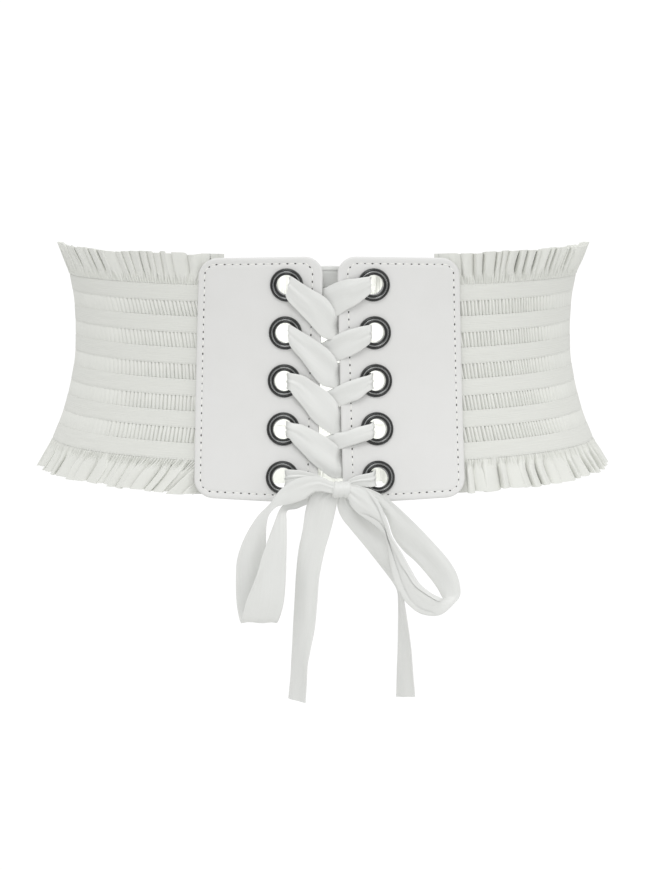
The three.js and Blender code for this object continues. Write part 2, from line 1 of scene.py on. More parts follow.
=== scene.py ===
"""Corset belt with two laced leather fronts and a gathered elastic back, in a pale studio.

Every size is in millimetres until a piece is finished; finished meshes are in metres.
"""

import logging
import math
import random
from dataclasses import dataclass
from enum import Enum
from typing import Callable

import bmesh
import bpy
from mathutils import Matrix, Vector


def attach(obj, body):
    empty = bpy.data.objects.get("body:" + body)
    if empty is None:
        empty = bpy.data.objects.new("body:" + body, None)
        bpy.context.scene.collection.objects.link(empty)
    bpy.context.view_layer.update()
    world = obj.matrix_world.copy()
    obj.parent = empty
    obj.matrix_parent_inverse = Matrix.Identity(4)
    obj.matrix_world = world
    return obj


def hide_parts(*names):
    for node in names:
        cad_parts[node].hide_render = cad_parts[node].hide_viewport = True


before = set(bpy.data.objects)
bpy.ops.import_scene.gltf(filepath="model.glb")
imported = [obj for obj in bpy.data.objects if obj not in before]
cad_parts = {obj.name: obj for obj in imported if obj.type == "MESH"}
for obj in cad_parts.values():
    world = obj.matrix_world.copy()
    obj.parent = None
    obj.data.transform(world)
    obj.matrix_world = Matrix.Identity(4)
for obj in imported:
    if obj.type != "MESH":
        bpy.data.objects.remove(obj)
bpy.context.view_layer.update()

MM = 0.001
BODY = "root"
LOG = logging.getLogger("corset_belt")

# A wave texture of this scale repeats once a metre
METRE_WAVE = 0.314

Edge = tuple[float, float, float]
Colour = tuple[float, float, float, float]


class Side(Enum):
    """Side of the belt as it is seen from the front, with its sign along X."""

    LEFT = -1
    RIGHT = 1

    @property
    def word(self) -> str:
        """Name of the side in the names of pieces."""
        return self.name.lower()


class Slot(Enum):
    """Material slot of the record that a piece takes its finish from."""

    CLOTH = "cloth"
    ELASTIC = "elastic"
    LEATHER = "leather"
    GUNMETAL = "gunmetal"
    SATIN = "satin"


def mix(start: float, end: float, share: float) -> float:
    """Value at a share of the way from start to end."""
    return start + (end - start) * share


def smooth_step(value: float, low: float, high: float) -> float:
    """Smooth rise from 0 at low to 1 at high."""
    share = min(max((value - low) / (high - low), 0.0), 1.0)
    return share * share * (3 - 2 * share)


def through(rows: list[tuple[float, ...]], place: float) -> list[float]:
    """Values on a smooth line through evenly spaced rows.

    Args:
        rows: Rows of numbers that the line passes through.
        place: Row number, with its fraction.

    Returns:
        One value for each column.
    """
    index = min(max(int(place), 0), len(rows) - 2)
    share = place - index
    one, two = rows[index], rows[index + 1]
    before = rows[index - 1] if index > 0 else [2 * a - b for a, b in zip(one, two)]
    after = rows[index + 2] if index + 2 < len(rows) else [2 * b - a for a, b in zip(one, two)]
    return [
        0.5 * (2 * b + (c - a) * share + (2 * a - 5 * b + 4 * c - d) * share**2
               + (3 * b - a - 3 * c + d) * share**3)
        for a, b, c, d in zip(before, one, two, after)
    ]


def looked_up(table: list[tuple[float, float]], place: float) -> float:
    """Value of a table of (place, value) rows, straight between them.

    Args:
        table: Rows of a place and its value, in order.
        place: Place that is looked up.

    Returns:
        The value at the place.
    """
    for (low, start), (high, end) in zip(table, table[1:]):
        if place <= high:
            return mix(start, end, min(max((place - low) / (high - low), 0.0), 1.0))
    return table[-1][1]


def linear(hex_code: str) -> Colour:
    """Linear colour of an sRGB hex value.

    Args:
        hex_code: Six hex digits.

    Returns:
        Red, green, blue and an alpha of 1.
    """
    parts = [int(hex_code[i : i + 2], 16) / 255 for i in (0, 2, 4)]
    red, green, blue = (p / 12.92 if p <= 0.04045 else ((p + 0.055) / 1.055) ** 2.4 for p in parts)
    return red, green, blue, 1.0


def add_node(
    tree: bpy.types.NodeTree,
    kind: str,
    settings: dict[str | int, object] | None = None,
    links: dict[str | int, bpy.types.NodeSocket] | None = None,
) -> bpy.types.Node:
    """Add a node with its settings and links.

    Args:
        tree: Node tree that it goes into.
        kind: Type of the node.
        settings: Values by the name or number of an input, or by the name of a property.
        links: Output sockets by the name or number of the input that they feed.

    Returns:
        The new node.
    """
    node = tree.nodes.new(kind)
    for name, value in (settings or {}).items():
        if isinstance(name, int) or name in node.inputs:
            node.inputs[name].default_value = value
        else:
            setattr(node, name, value)
    for name, socket in (links or {}).items():
        tree.links.new(socket, node.inputs[name])
    return node


def new_material(name: str) -> tuple[bpy.types.Material, bpy.types.NodeTree, bpy.types.Node]:
    """Empty material with its tree and its principled shader, joined to the output.

    Args:
        name: Name of the material.

    Returns:
        The material, its node tree and its shader.
    """
    material = bpy.data.materials.new(name)
    material.use_nodes = True
    tree = material.node_tree
    tree.nodes.clear()
    shader = add_node(tree, "ShaderNodeBsdfPrincipled")
    add_node(tree, "ShaderNodeOutputMaterial", links={"Surface": shader.outputs[0]})
    return material, tree, shader


@dataclass(frozen=True)
class GatheredCloth:
    """Plain-woven polyester stretch cloth, matt, with a faint sheen and a fine even weave."""

    light: str = "E1E2DD"
    dark: str = "D9DAD5"
    thread: float = 0.55

    def material(self) -> bpy.types.Material:
        """Build the cloth; its weave is drawn at 0.55 mm, since the real 0.2 mm would not show.

        Returns:
            The material.
        """
        material, tree, shader = new_material("woven_polyester_cloth")
        place = {"Vector": add_node(tree, "ShaderNodeUVMap", {"uv_map": "cloth"}).outputs[0]}
        cloud = add_node(tree, "ShaderNodeTexNoise", {"Scale": 60.0, "Detail": 3.0}, place)
        tones = {"data_type": "RGBA", 6: linear(self.light), 7: linear(self.dark)}
        tone = add_node(tree, "ShaderNodeMix", tones, {0: cloud.outputs[0]})
        wave = {"Scale": METRE_WAVE / (self.thread * MM), "Distortion": 0.6}
        warp, weft = (
            add_node(tree, "ShaderNodeTexWave", {"bands_direction": way, **wave}, place).outputs[1]
            for way in ("X", "Y")
        )
        weave = add_node(tree, "ShaderNodeMath", {"operation": "MULTIPLY"}, {0: warp, 1: weft})
        relief = {"Strength": 0.25, "Distance": 0.06 * MM}
        bump = add_node(tree, "ShaderNodeBump", relief, {"Height": weave.outputs[0]})
        tree.links.new(tone.outputs[2], shader.inputs["Base Color"])
        tree.links.new(bump.outputs[0], shader.inputs["Normal"])
        shader.inputs["Roughness"].default_value = 0.85
        shader.inputs["Sheen Weight"].default_value = 0.12
        shader.inputs["Sheen Roughness"].default_value = 0.5
        shader.inputs["Specular IOR Level"].default_value = 0.3
        return material


@dataclass(frozen=True)
class ElasticWebbing:
    """Flat woven polyester elastic, with fine ribs and threads that run along it."""

    light: str = "DFE0DB"
    dark: str = "D3D4CF"
    rib: float = 0.7

    def material(self) -> bpy.types.Material:
        """Build the elastic; long thread streaks lie over its ribs.

        Returns:
            The material.
        """
        material, tree, shader = new_material("woven_polyester_elastic")
        place = {"Vector": add_node(tree, "ShaderNodeUVMap", {"uv_map": "cloth"}).outputs[0]}
        along = add_node(tree, "ShaderNodeMapping", {"Scale": (60.0, 1900.0, 1.0)}, place)
        drawn = {"Vector": along.outputs[0]}
        streak = add_node(tree, "ShaderNodeTexNoise", {"Scale": 1.0, "Detail": 2.0}, drawn).outputs[0]
        tones = {"data_type": "RGBA", 6: linear(self.dark), 7: linear(self.light)}
        tone = add_node(tree, "ShaderNodeMix", tones, {0: streak})
        wave = {"bands_direction": "Y", "Scale": METRE_WAVE / (self.rib * MM)}
        ribs = add_node(tree, "ShaderNodeTexWave", wave, place).outputs[1]
        height = add_node(tree, "ShaderNodeMath", {"operation": "ADD"}, {0: ribs, 1: streak})
        relief = {"Strength": 0.35, "Distance": 0.08 * MM}
        bump = add_node(tree, "ShaderNodeBump", relief, {"Height": height.outputs[0]})
        tree.links.new(tone.outputs[2], shader.inputs["Base Color"])
        tree.links.new(bump.outputs[0], shader.inputs["Normal"])
        shader.inputs["Roughness"].default_value = 0.72
        shader.inputs["Sheen Weight"].default_value = 0.1
        shader.inputs["Specular IOR Level"].default_value = 0.3
        return material


@dataclass(frozen=True)
class CoatedLeather:
    """Smooth polyurethane-coated leather, half matt, with a fine pebble grain."""

    light: str = "DBDBDA"
    dark: str = "D7D7D5"
    grain: float = 0.7

    def material(self) -> bpy.types.Material:
        """Build the leather; the grain is rounded cells about 0.7 mm across.

        Returns:
            The material.
        """
        material, tree, shader = new_material("coated_leather")
        place = {"Vector": add_node(tree, "ShaderNodeTexCoord").outputs["Object"]}
        pebbles = {"feature": "SMOOTH_F1", "Scale": 1 / (self.grain * MM)}
        cells = add_node(tree, "ShaderNodeTexVoronoi", pebbles, place)
        cloud = add_node(tree, "ShaderNodeTexNoise", {"Scale": 90.0, "Detail": 4.0}, place)
        tones = {"data_type": "RGBA", 6: linear(self.light), 7: linear(self.dark)}
        tone = add_node(tree, "ShaderNodeMix", tones, {0: cloud.outputs[0]})
        relief = {"Strength": 0.18, "Distance": 0.05 * MM}
        bump = add_node(tree, "ShaderNodeBump", relief, {"Height": cells.outputs[0]})
        shine = add_node(tree, "ShaderNodeMapRange", {3: 0.42, 4: 0.54}, {0: cloud.outputs[0]})
        tree.links.new(tone.outputs[2], shader.inputs["Base Color"])
        tree.links.new(bump.outputs[0], shader.inputs["Normal"])
        tree.links.new(shine.outputs[0], shader.inputs["Roughness"])
        shader.inputs["Specular IOR Level"].default_value = 0.4
        return material


@dataclass(frozen=True)
class BlackNickel:
    """Brass eyelets plated in black nickel, with a highlight and reflection painted into the colour as bright
    rings on their ridges.
    """

    plating_tone: str = "1B1C1C"
    highlight_tone: str = "DCDEDD"

    def material(self) -> bpy.types.Material:
        """Build the plating; an attribute lays bright rings of painted highlight and reflection into its
        colour.

        Returns:
            The material.
        """
        material, tree, shader = new_material("black_nickel_painted_highlight")
        # Painted highlight and reflection: bright rings in the colour that stand in for the lamps' glints on
        # the metal
        polish = add_node(tree, "ShaderNodeAttribute", {"attribute_name": "polish"})
        tones = {"data_type": "RGBA", 6: linear(self.plating_tone), 7: linear(self.highlight_tone)}
        tone = add_node(tree, "ShaderNodeMix", tones, {0: polish.outputs["Fac"]})
        place = {"Vector": add_node(tree, "ShaderNodeTexCoord").outputs["Object"]}
        marks = add_node(tree, "ShaderNodeTexNoise", {"Scale": 700.0, "Detail": 3.0}, place)
        shine = add_node(tree, "ShaderNodeMapRange", {3: 0.17, 4: 0.21}, {0: marks.outputs[0]})
        tree.links.new(tone.outputs[2], shader.inputs["Base Color"])
        tree.links.new(shine.outputs[0], shader.inputs["Roughness"])
        shader.inputs["Metallic"].default_value = 1.0
        return material


@dataclass(frozen=True)
class SatinRibbon:
    """Single-faced polyester satin: glossy along its warp threads, with a soft sheen."""

    light: str = "DCDDDB"
    dark: str = "D6D7D4"

    def material(self) -> bpy.types.Material:
        """Build the satin; warp lines run along the ribbon's own length.

        Returns:
            The material.
        """
        material, tree, shader = new_material("polyester_satin")
        place = {"Vector": add_node(tree, "ShaderNodeUVMap", {"uv_map": "cloth"}).outputs[0]}
        along = add_node(tree, "ShaderNodeMapping", {"Scale": (1800.0, 40.0, 1.0)}, place)
        drawn = {"Vector": along.outputs[0]}
        warp = add_node(tree, "ShaderNodeTexNoise", {"Scale": 1.0, "Detail": 2.0}, drawn).outputs[0]
        tones = {"data_type": "RGBA", 6: linear(self.dark), 7: linear(self.light)}
        tone = add_node(tree, "ShaderNodeMix", tones, {0: warp})
        relief = {"Strength": 0.1, "Distance": 0.02 * MM}
        bump = add_node(tree, "ShaderNodeBump", relief, {"Height": warp})
        tree.links.new(tone.outputs[2], shader.inputs["Base Color"])
        tree.links.new(bump.outputs[0], shader.inputs["Normal"])
        shader.inputs["Roughness"].default_value = 0.38
        shader.inputs["Specular IOR Level"].default_value = 0.55
        shader.inputs["Sheen Weight"].default_value = 0.15
        return material


@dataclass(frozen=True)
class SewingThread:
    """Spun polyester sewing thread, matt and slightly fuzzy."""

    name: str
    tint: str

    def material(self) -> bpy.types.Material:
        """Build the thread, with a twist that shows as fine bands.

        Returns:
            The material.
        """
        material, tree, shader = new_material(self.name)
        place = {"Vector": add_node(tree, "ShaderNodeTexCoord").outputs["Object"]}
        twist = add_node(tree, "ShaderNodeTexNoise", {"Scale": 2500.0, "Detail": 1.0}, place)
        relief = {"Strength": 0.3, "Distance": 0.05 * MM}
        bump = add_node(tree, "ShaderNodeBump", relief, {"Height": twist.outputs[0]})
        tree.links.new(bump.outputs[0], shader.inputs["Normal"])
        shader.inputs["Base Color"].default_value = linear(self.tint)
        shader.inputs["Roughness"].default_value = 0.9
        return material


def draped(
    columns: int, rows: int, place: Callable[[int, int], tuple[Vector, tuple[float, float]]]
) -> bmesh.types.BMesh:
    """Lay a flat grid out by a rule.

    Args:
        columns: Steps across the grid.
        rows: Steps up the grid.
        place: Gives the point in millimetres, and the place on the flat cloth, of a column and row.

    Returns:
        The laid grid, with its UV map in metres of cloth.
    """
    bm = bmesh.new()
    bmesh.ops.create_grid(bm, x_segments=columns, y_segments=rows, size=1.0)
    chart = bm.loops.layers.uv.new("cloth")
    spots = {}
    for vert in bm.verts:
        column = round((vert.co.x + 1) / 2 * columns)
        row = round((vert.co.y + 1) / 2 * rows)
        vert.co, spots[vert] = place(column, row)
    for face in bm.faces:
        for loop in face.loops:
            across, along = spots[loop.vert]
            loop[chart].uv = (across * MM, along * MM)
    bm.normal_update()
    return bm


def thicken(bm: bmesh.types.BMesh, thickness: float) -> None:
    """Give an open sheet a wall of a thickness, half to each side of it.

    Args:
        bm: Mesh of the sheet, which is changed.
        thickness: Thickness of the wall.
    """
    bm.normal_update()
    bm.faces.ensure_lookup_table()
    facing = bm.faces[0].normal.copy()
    made = bmesh.ops.extrude_face_region(bm, geom=bm.faces[:], use_keep_orig=True)["geom"]
    bm.normal_update()
    back = [item for item in made if isinstance(item, bmesh.types.BMVert)]
    same = next(item for item in made if isinstance(item, bmesh.types.BMFace)).normal.dot(facing) > 0
    turn = 1 if same else -1
    moves = {vert: vert.normal * (turn * thickness / 2) for vert in back}
    fronts = {vert.co.copy().freeze(): move for vert, move in moves.items()}
    for vert in bm.verts:
        if vert in moves:
            vert.co -= moves[vert]
        else:
            vert.co += fronts[vert.co.copy().freeze()]
    bmesh.ops.recalc_face_normals(bm, faces=bm.faces[:])


def settle(
    name: str,
    bm: bmesh.types.BMesh,
    finish: bpy.types.Material,
    slot: Slot,
    nodes: list[str] | None = None,
    sharp: float = 50.0,
) -> bpy.types.Object:
    """Make a finished piece of the belt from a mesh in millimetres.

    Args:
        name: Name of the piece.
        bm: Its mesh, which is used up.
        finish: Its material.
        slot: Not used; slot of the record that the finish stands for.
        nodes: CAD nodes that it replaces.
        sharp: Angle in degrees past which an edge is shaded sharp.

    Returns:
        The piece, riding on the belt.
    """
    bmesh.ops.scale(bm, vec=(MM, MM, MM), verts=bm.verts)
    mesh = bpy.data.meshes.new(name)
    bm.to_mesh(mesh)
    bm.free()
    mesh.shade_smooth()
    mesh.set_sharp_from_angle(angle=math.radians(sharp))
    mesh.materials.append(finish)
    piece = bpy.data.objects.new(name, mesh)
    bpy.context.scene.collection.objects.link(piece)
    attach(piece, BODY)
    if nodes:
        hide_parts(*nodes)
    mesh.calc_loop_triangles()
    LOG.info("%s: %d triangles", name, len(mesh.loop_triangles))
    return piece


@dataclass(frozen=True)
class BodyForm:
    """Waist that the belt is cut for: an ellipse that flares above and below."""

    half_width: float = 121.2
    half_depth: float = 91.0
    depth_flare: float = 0.5
    top_seam: float = 28.3
    band_height: float = 81.8
    top_dip_front: float = 3.3
    bottom_dip_front: float = 6.0
    dip_back: float = 15.6
    side_rounding: float = 0.15
    flare: tuple[tuple[float, float], ...] = (
        (-0.2, 0.053), (0.0, 0.0235), (0.16, 0.0055), (0.33, 0.0), (0.5, 0.0035),
        (0.66, 0.022), (0.83, 0.052), (1.0, 0.097), (1.25, 0.165),
    )

    def away_from_side(self, angle: float) -> float:
        """How far round from the side towards the front or the back, from 0 to 1."""
        soft = self.side_rounding
        return (math.hypot(math.cos(angle), soft) - soft) / (math.hypot(1, soft) - soft)

    def widen(self, down: float) -> float:
        """Outward flare at a share of the band height, as a share of the half width.

        Args:
            down: Share of the way down from the top seam to the bottom seam.

        Returns:
            The share to widen by.
        """
        rows = self.flare
        index = next((i for i in range(1, len(rows) - 1) if down < rows[i][0]), len(rows) - 1) - 1
        (x0, y0), (x1, y1) = rows[index], rows[index + 1]
        slopes = []
        for i in (index, index + 1):
            low, high = rows[max(i - 1, 0)], rows[min(i + 1, len(rows) - 1)]
            slopes.append((high[1] - low[1]) / (high[0] - low[0]))
        step, share = x1 - x0, (down - x0) / (x1 - x0)
        two, three = share**2, share**3
        return ((2 * three - 3 * two + 1) * y0 + (three - 2 * two + share) * step * slopes[0]
                + (3 * two - 2 * three) * y1 + (three - two) * step * slopes[1])

    def height(self, angle: float, down: float) -> float:
        """Height at a share of the way down from the top seam to the bottom seam.

        Args:
            angle: Angle round the body, from 0 at the front.
            down: Share of the way down.

        Returns:
            The height, with the dip of the front or the back.
        """
        away = self.away_from_side(angle)
        top_dip, bottom_dip = self.dip_back, self.dip_back
        if math.cos(angle) > 0:
            top_dip, bottom_dip = self.top_dip_front, self.bottom_dip_front
        top = self.top_seam - top_dip * away
        return mix(top, self.top_seam - self.band_height - bottom_dip * away, down)

    def outward(self, angle: float) -> Vector:
        """Level direction away from the body."""
        way = Vector((self.half_depth * math.sin(angle), -self.half_width * math.cos(angle), 0))
        return way.normalized()

    def point(self, angle: float, down: float, out: float) -> Vector:
        """Point at an angle round the body and a share of the band height, moved outwards.

        Args:
            angle: Angle round the body, from 0 at the front.
            down: Share of the band height.
            out: Distance outwards from the body.

        Returns:
            The point.
        """
        wide = self.widen(down)
        return Vector((
            self.half_width * (1 + wide) * math.sin(angle),
            -self.half_depth * (1 + wide * self.depth_flare) * math.cos(angle),
            self.height(angle, down),
        )) + self.outward(angle) * out

    def on_front(self, x: float, z: float, out: float) -> Vector:
        """Point over the front at a place across and up, moved outwards.

        Args:
            x: Place across.
            z: Place up.
            out: Distance outwards from the body.

        Returns:
            The point.
        """
        guess = math.asin(min(max(x / self.half_width, -1), 1))
        top, bottom = self.height(guess, 0), self.height(guess, 1)
        down = (top - z) / (top - bottom)
        angle = math.asin(min(max(x / (self.half_width * (1 + self.widen(down))), -1), 1))
        return self.point(angle, down, out)

    def square_to_front(self, x: float, z: float, reach: float = 8.0) -> Vector:
        """Direction square to the leather at a place seen from the front.

        Args:
            x: Place across.
            z: Place up.
            reach: Distance to either side over which the slope is taken.

        Returns:
            The direction, of length 1.
        """
        out = Layers.panel_back
        sideways = self.on_front(x + reach, z, out) - self.on_front(x - reach, z, out)
        upwards = self.on_front(x, z + reach, out) - self.on_front(x, z - reach, out)
        return sideways.cross(upwards).normalized()


class BandWay:
    """Way round the back from one panel to the other, measured along the cloth."""

    def __init__(self, body: BodyForm, start: float, down: float = 0.5, steps: int = 720) -> None:
        """Measure the way round.

        Args:
            body: Form that the way goes round.
            start: Angle at which it starts, behind the right-hand panel.
            down: Share of the band height at which it is measured.
            steps: Number of steps that it is measured in.
        """
        self.angles = [mix(start, 2 * math.pi - start, i / steps) for i in range(steps + 1)]
        spots = [body.point(angle, down, Layers.cloth) for angle in self.angles]
        self.lengths = [0.0]
        for one, two in zip(spots, spots[1:]):
            self.lengths.append(self.lengths[-1] + (two - one).length)

    @property
    def length(self) -> float:
        """Whole length of the way."""
        return self.lengths[-1]

    def angle(self, along: float) -> float:
        """Angle at a length along the way.

        Args:
            along: Length from the start.

        Returns:
            The angle round the body.
        """
        low, high = 0, len(self.lengths) - 1
        while high - low > 1:
            middle = (low + high) // 2
            low, high = (middle, high) if self.lengths[middle] <= along else (low, middle)
        share = (along - self.lengths[low]) / (self.lengths[high] - self.lengths[low])
        return mix(self.angles[low], self.angles[high], share)


@dataclass(frozen=True)
class PanelCut:
    """Flat cut of the two front panels and the places of their eyelets."""

    width: float = 57.7
    height: float = 118.1
    top: float = 39.8
    top_fall: float = 1.2
    bottom_rise: float = 2.7
    gap_at_top: float = 6.4
    gap_at_bottom: float = 12.0
    eyelet_inset: float = 16.6
    eyelet_drop: float = 13.4
    eyelet_pitch: float = 23.3
    eyelet_count: int = 5
    eyelet_radius: float = 8.0

    def spot(self, side: Side, across: float, down: float) -> tuple[float, float]:
        """Place across and up, from millimetres off the inner edge and the top.

        Args:
            side: Panel that the place is on.
            across: Distance from the inner edge.
            down: Distance from the top.

        Returns:
            Place across, and place up.
        """
        share, outer = down / self.height, across / self.width
        top = self.top - self.top_fall * outer
        bottom = self.top - self.height + self.bottom_rise * outer
        inner = mix(self.gap_at_top, self.gap_at_bottom, share) / 2
        return side.value * (inner + across), mix(top, bottom, share)

    def inner_edge(self, z: float) -> float:
        """Distance of the inner edge from the middle at a height."""
        return mix(self.gap_at_top, self.gap_at_bottom, (self.top - z) / self.height) / 2

    def eyelet(self, side: Side, row: int) -> tuple[float, float]:
        """Centre of an eyelet, counted from the top."""
        return self.spot(side, self.eyelet_inset, self.eyelet_drop + row * self.eyelet_pitch)


@dataclass(frozen=True)
class Layers:
    """Distances outwards from the body of each layer of the belt."""

    cloth: float = 1.4
    elastic: float = 2.22
    panel_back: float = 2.9
    panel_face: float = 4.9


@dataclass
class StripPlan:
    """Heights of the elastic strips and of the gathered windows between them."""

    count: int = 6
    share: float = 0.525

    def strip(self, index: int) -> tuple[float, float]:
        """Top and bottom of a strip, as shares of the band height."""
        unit = 1 / (self.count - 1 + self.share)
        return index * unit, (index + self.share) * unit


@dataclass
class GatheredBand:
    """Cloth behind the elastic, gathered into fine pleats in each window between two strips."""

    body: BodyForm
    way: BandWay
    plan: StripPlan
    near_pitch: float = 2.0
    back_pitch: float = 3.4
    near_depth: float = 0.74
    side_depth: float = 0.08
    back_depth: float = 0.3
    fade_right: tuple[float, float] = (46.0, 80.0)
    fade_left: tuple[float, float] = (36.0, 70.0)
    wall: float = 0.4
    under_strip: float = 1.2
    near_level: float = 1.62
    side_level: float = 2.05
    highest: float = 2.35
    seed: int = 11
    pitch_spread: tuple[float, float] = (0.88, 1.14)
    size_spread: tuple[float, float] = (0.8, 1.12)
    most_shift: float = 0.13
    most_lean: float = 0.25
    end_margin: float = 0.004
    fullness: float = 1.5
    pinned: float = 6.0
    back_from: tuple[float, float] = (105, 160)
    # Rows of a window from its top to its bottom: place, how far it is out, and how deep it is pleated
    rows: tuple[tuple[float, float, float], ...] = (
        (-0.015, 0.15, 0.1), (0.006, 0.87, 0.6), (0.05, 1.0, 0.92), (0.5, 1.0, 1.0),
        (0.95, 1.0, 0.92), (0.994, 0.87, 0.6), (1.015, 0.15, 0.1),
    )
    # How far the foot of a pleat is to the right of its head, in each window
    slants: tuple[float, ...] = (1.4, 1.2, 0.9, 0.5, 0.3)
    # One pleat from valley to valley on either side: place, and height as a share of the depth
    pleat_left: tuple[tuple[float, float], ...] = (
        (0.0, -1.35), (0.1, -0.5), (0.24, 0.6), (0.5, 1.0), (0.76, 0.75), (0.91, -0.35),
    )
    pleat_right: tuple[tuple[float, float], ...] = (
        (0.0, -1.3), (0.09, 0.15), (0.22, 0.95), (0.46, 1.0), (0.7, 0.45), (0.88, -0.5),
    )

    def calm(self, along: float) -> float:
        """How far the pleats have died away towards the side, from 0 to 1.

        Args:
            along: Length along the band from its right-hand end.

        Returns:
            0 by the panels, and 1 at the sides.
        """
        if along < self.way.length / 2:
            return smooth_step(along, *self.fade_right)
        return smooth_step(self.way.length - along, *self.fade_left)

    def depth(self, along: float) -> float:
        """Depth of the pleats at a length along the band.

        Args:
            along: Length along the band from its right-hand end.

        Returns:
            The depth.
        """
        near = min(along, self.way.length - along)
        side = mix(self.near_depth, self.side_depth, self.calm(along))
        return mix(side, self.back_depth, smooth_step(near, *self.back_from))

    def build(self, finish: bpy.types.Material) -> bpy.types.Object:
        """Lay the whole cloth round the body, and make it a piece.

        Args:
            finish: Its material.

        Returns:
            The piece.
        """
        draw = random.Random(self.seed)
        ends = [0.0]
        while ends[-1] < self.way.length:
            pitch = mix(self.near_pitch, self.back_pitch, self.calm(ends[-1]))
            ends.append(ends[-1] + pitch * draw.uniform(*self.pitch_spread))
        ends = [end * self.way.length / ends[-1] for end in ends]
        pleats = len(ends) - 1
        steps = len(self.pleat_left)
        spans = [self.plan.strip(i) for i in range(self.plan.count)]
        # Each row of the grid: share of the band height, window, share of the window, and the table's row
        lines: list[tuple[float, int, float, float, float]] = []
        lines.append((spans[0][0] + self.end_margin, -1, 0.0, 0.0, 0.0))
        windows = range(self.plan.count - 1)
        for window in windows:
            top, bottom = spans[window][1], spans[window + 1][0]
            lines += [(mix(top, bottom, share), window, share, out, deep) for share, out, deep in self.rows]
        lines.append((spans[-1][1] - self.end_margin, -1, 0.0, 0.0, 0.0))

        def drawn(low: float, high: float) -> list[list[float]]:
            """Number between two limits for every pleat of every window."""
            return [[draw.uniform(low, high) for _ in range(pleats + 1)] for _ in windows]

        shifts = drawn(-self.most_shift, self.most_shift)
        sizes = drawn(*self.size_spread)
        leans = drawn(-self.most_lean, self.most_lean)
        height = self.body.band_height

        def place(column: int, row: int) -> tuple[Vector, tuple[float, float]]:
            """Point of a grid corner and its place on the flat piece.

            Args:
                column: Its column.
                row: Its row.

            Returns:
                The point, and the place across and along the flat piece.
            """
            down, window, share, proud, deep = lines[row]
            pleat, part = divmod(column, steps)
            width = ends[pleat + 1] - ends[pleat] if pleat < pleats else 0.0
            shape = self.pleat_right if ends[pleat] < self.way.length / 2 else self.pleat_left
            along = ends[pleat] + width * shape[part][0]
            cut = along * self.fullness
            out = self.under_strip
            if window >= 0:
                level = mix(self.near_level, self.side_level, self.calm(along))
                size = self.depth(along) * deep * sizes[window][pleat]
                out = min(mix(self.under_strip, level, proud) + size * shape[part][1], self.highest)
                loose = smooth_step(along, 0, self.pinned)
                loose *= smooth_step(self.way.length - along, 0, self.pinned)
                lean = self.slants[window] + leans[window][pleat]
                along += loose * (shifts[window][pleat] + lean * (share - 0.5))
            return self.body.point(self.way.angle(along), down, out), (cut, down * height)

        bm = draped(pleats * steps, len(lines) - 1, place)
        thicken(bm, self.wall)
        piece = settle("gathered_cloth", bm, finish, Slot.CLOTH, ["gathered_band"])
        return piece


@dataclass
class ElasticStrips:
    """Six flat ribbed elastics, sewn round the cloth along both of their edges."""

    body: BodyForm
    way: BandWay
    plan: StripPlan
    layers: Layers
    wall: float = 0.4
    ribs: int = 8
    rib_height: float = 0.04
    edge_fall: float = 0.2
    edge_power: int = 7
    columns: int = 280
    rows_per_rib: int = 3
    waver: float = 0.1
    waver_length: float = 7.3
    waver_share: float = 0.0006

    def build(self, finish: bpy.types.Material) -> list[bpy.types.Object]:
        """Lay every strip round the body."""
        return [self.strip(index, finish) for index in range(self.plan.count)]

    def strip(self, index: int, finish: bpy.types.Material) -> bpy.types.Object:
        """Lay one strip, with ribs along it and edges drawn down by the stitches.

        Args:
            index: Number of the strip from the top, from 0.
            finish: Its material.

        Returns:
            The piece.
        """
        top, bottom = self.plan.strip(index)
        rows = self.rows_per_rib * self.ribs
        face = self.layers.elastic
        tall = (bottom - top) * self.body.band_height

        def place(column: int, row: int) -> tuple[Vector, tuple[float, float]]:
            """Point of a grid corner and its place on the flat piece.

            Args:
                column: Its column.
                row: Its row.

            Returns:
                The point, and the place across and along the flat piece.
            """
            along = self.way.length * column / self.columns
            share = row / rows
            edge = abs(2 * share - 1) ** self.edge_power
            ripple = self.waver * math.sin(along / self.waver_length + index) * (1 - edge)
            rib = self.rib_height * math.cos(2 * math.pi * row / self.rows_per_rib)
            out = face + rib - self.edge_fall * edge
            down = mix(top, bottom, share) + self.waver_share * ripple
            return self.body.point(self.way.angle(along), down, out), (along, share * tall)

        bm = draped(self.columns, rows, place)
        thicken(bm, self.wall)
        piece = settle(f"elastic_{index + 1}", bm, finish, Slot.ELASTIC, [f"elastic_strip_{index + 1}"])
        return piece


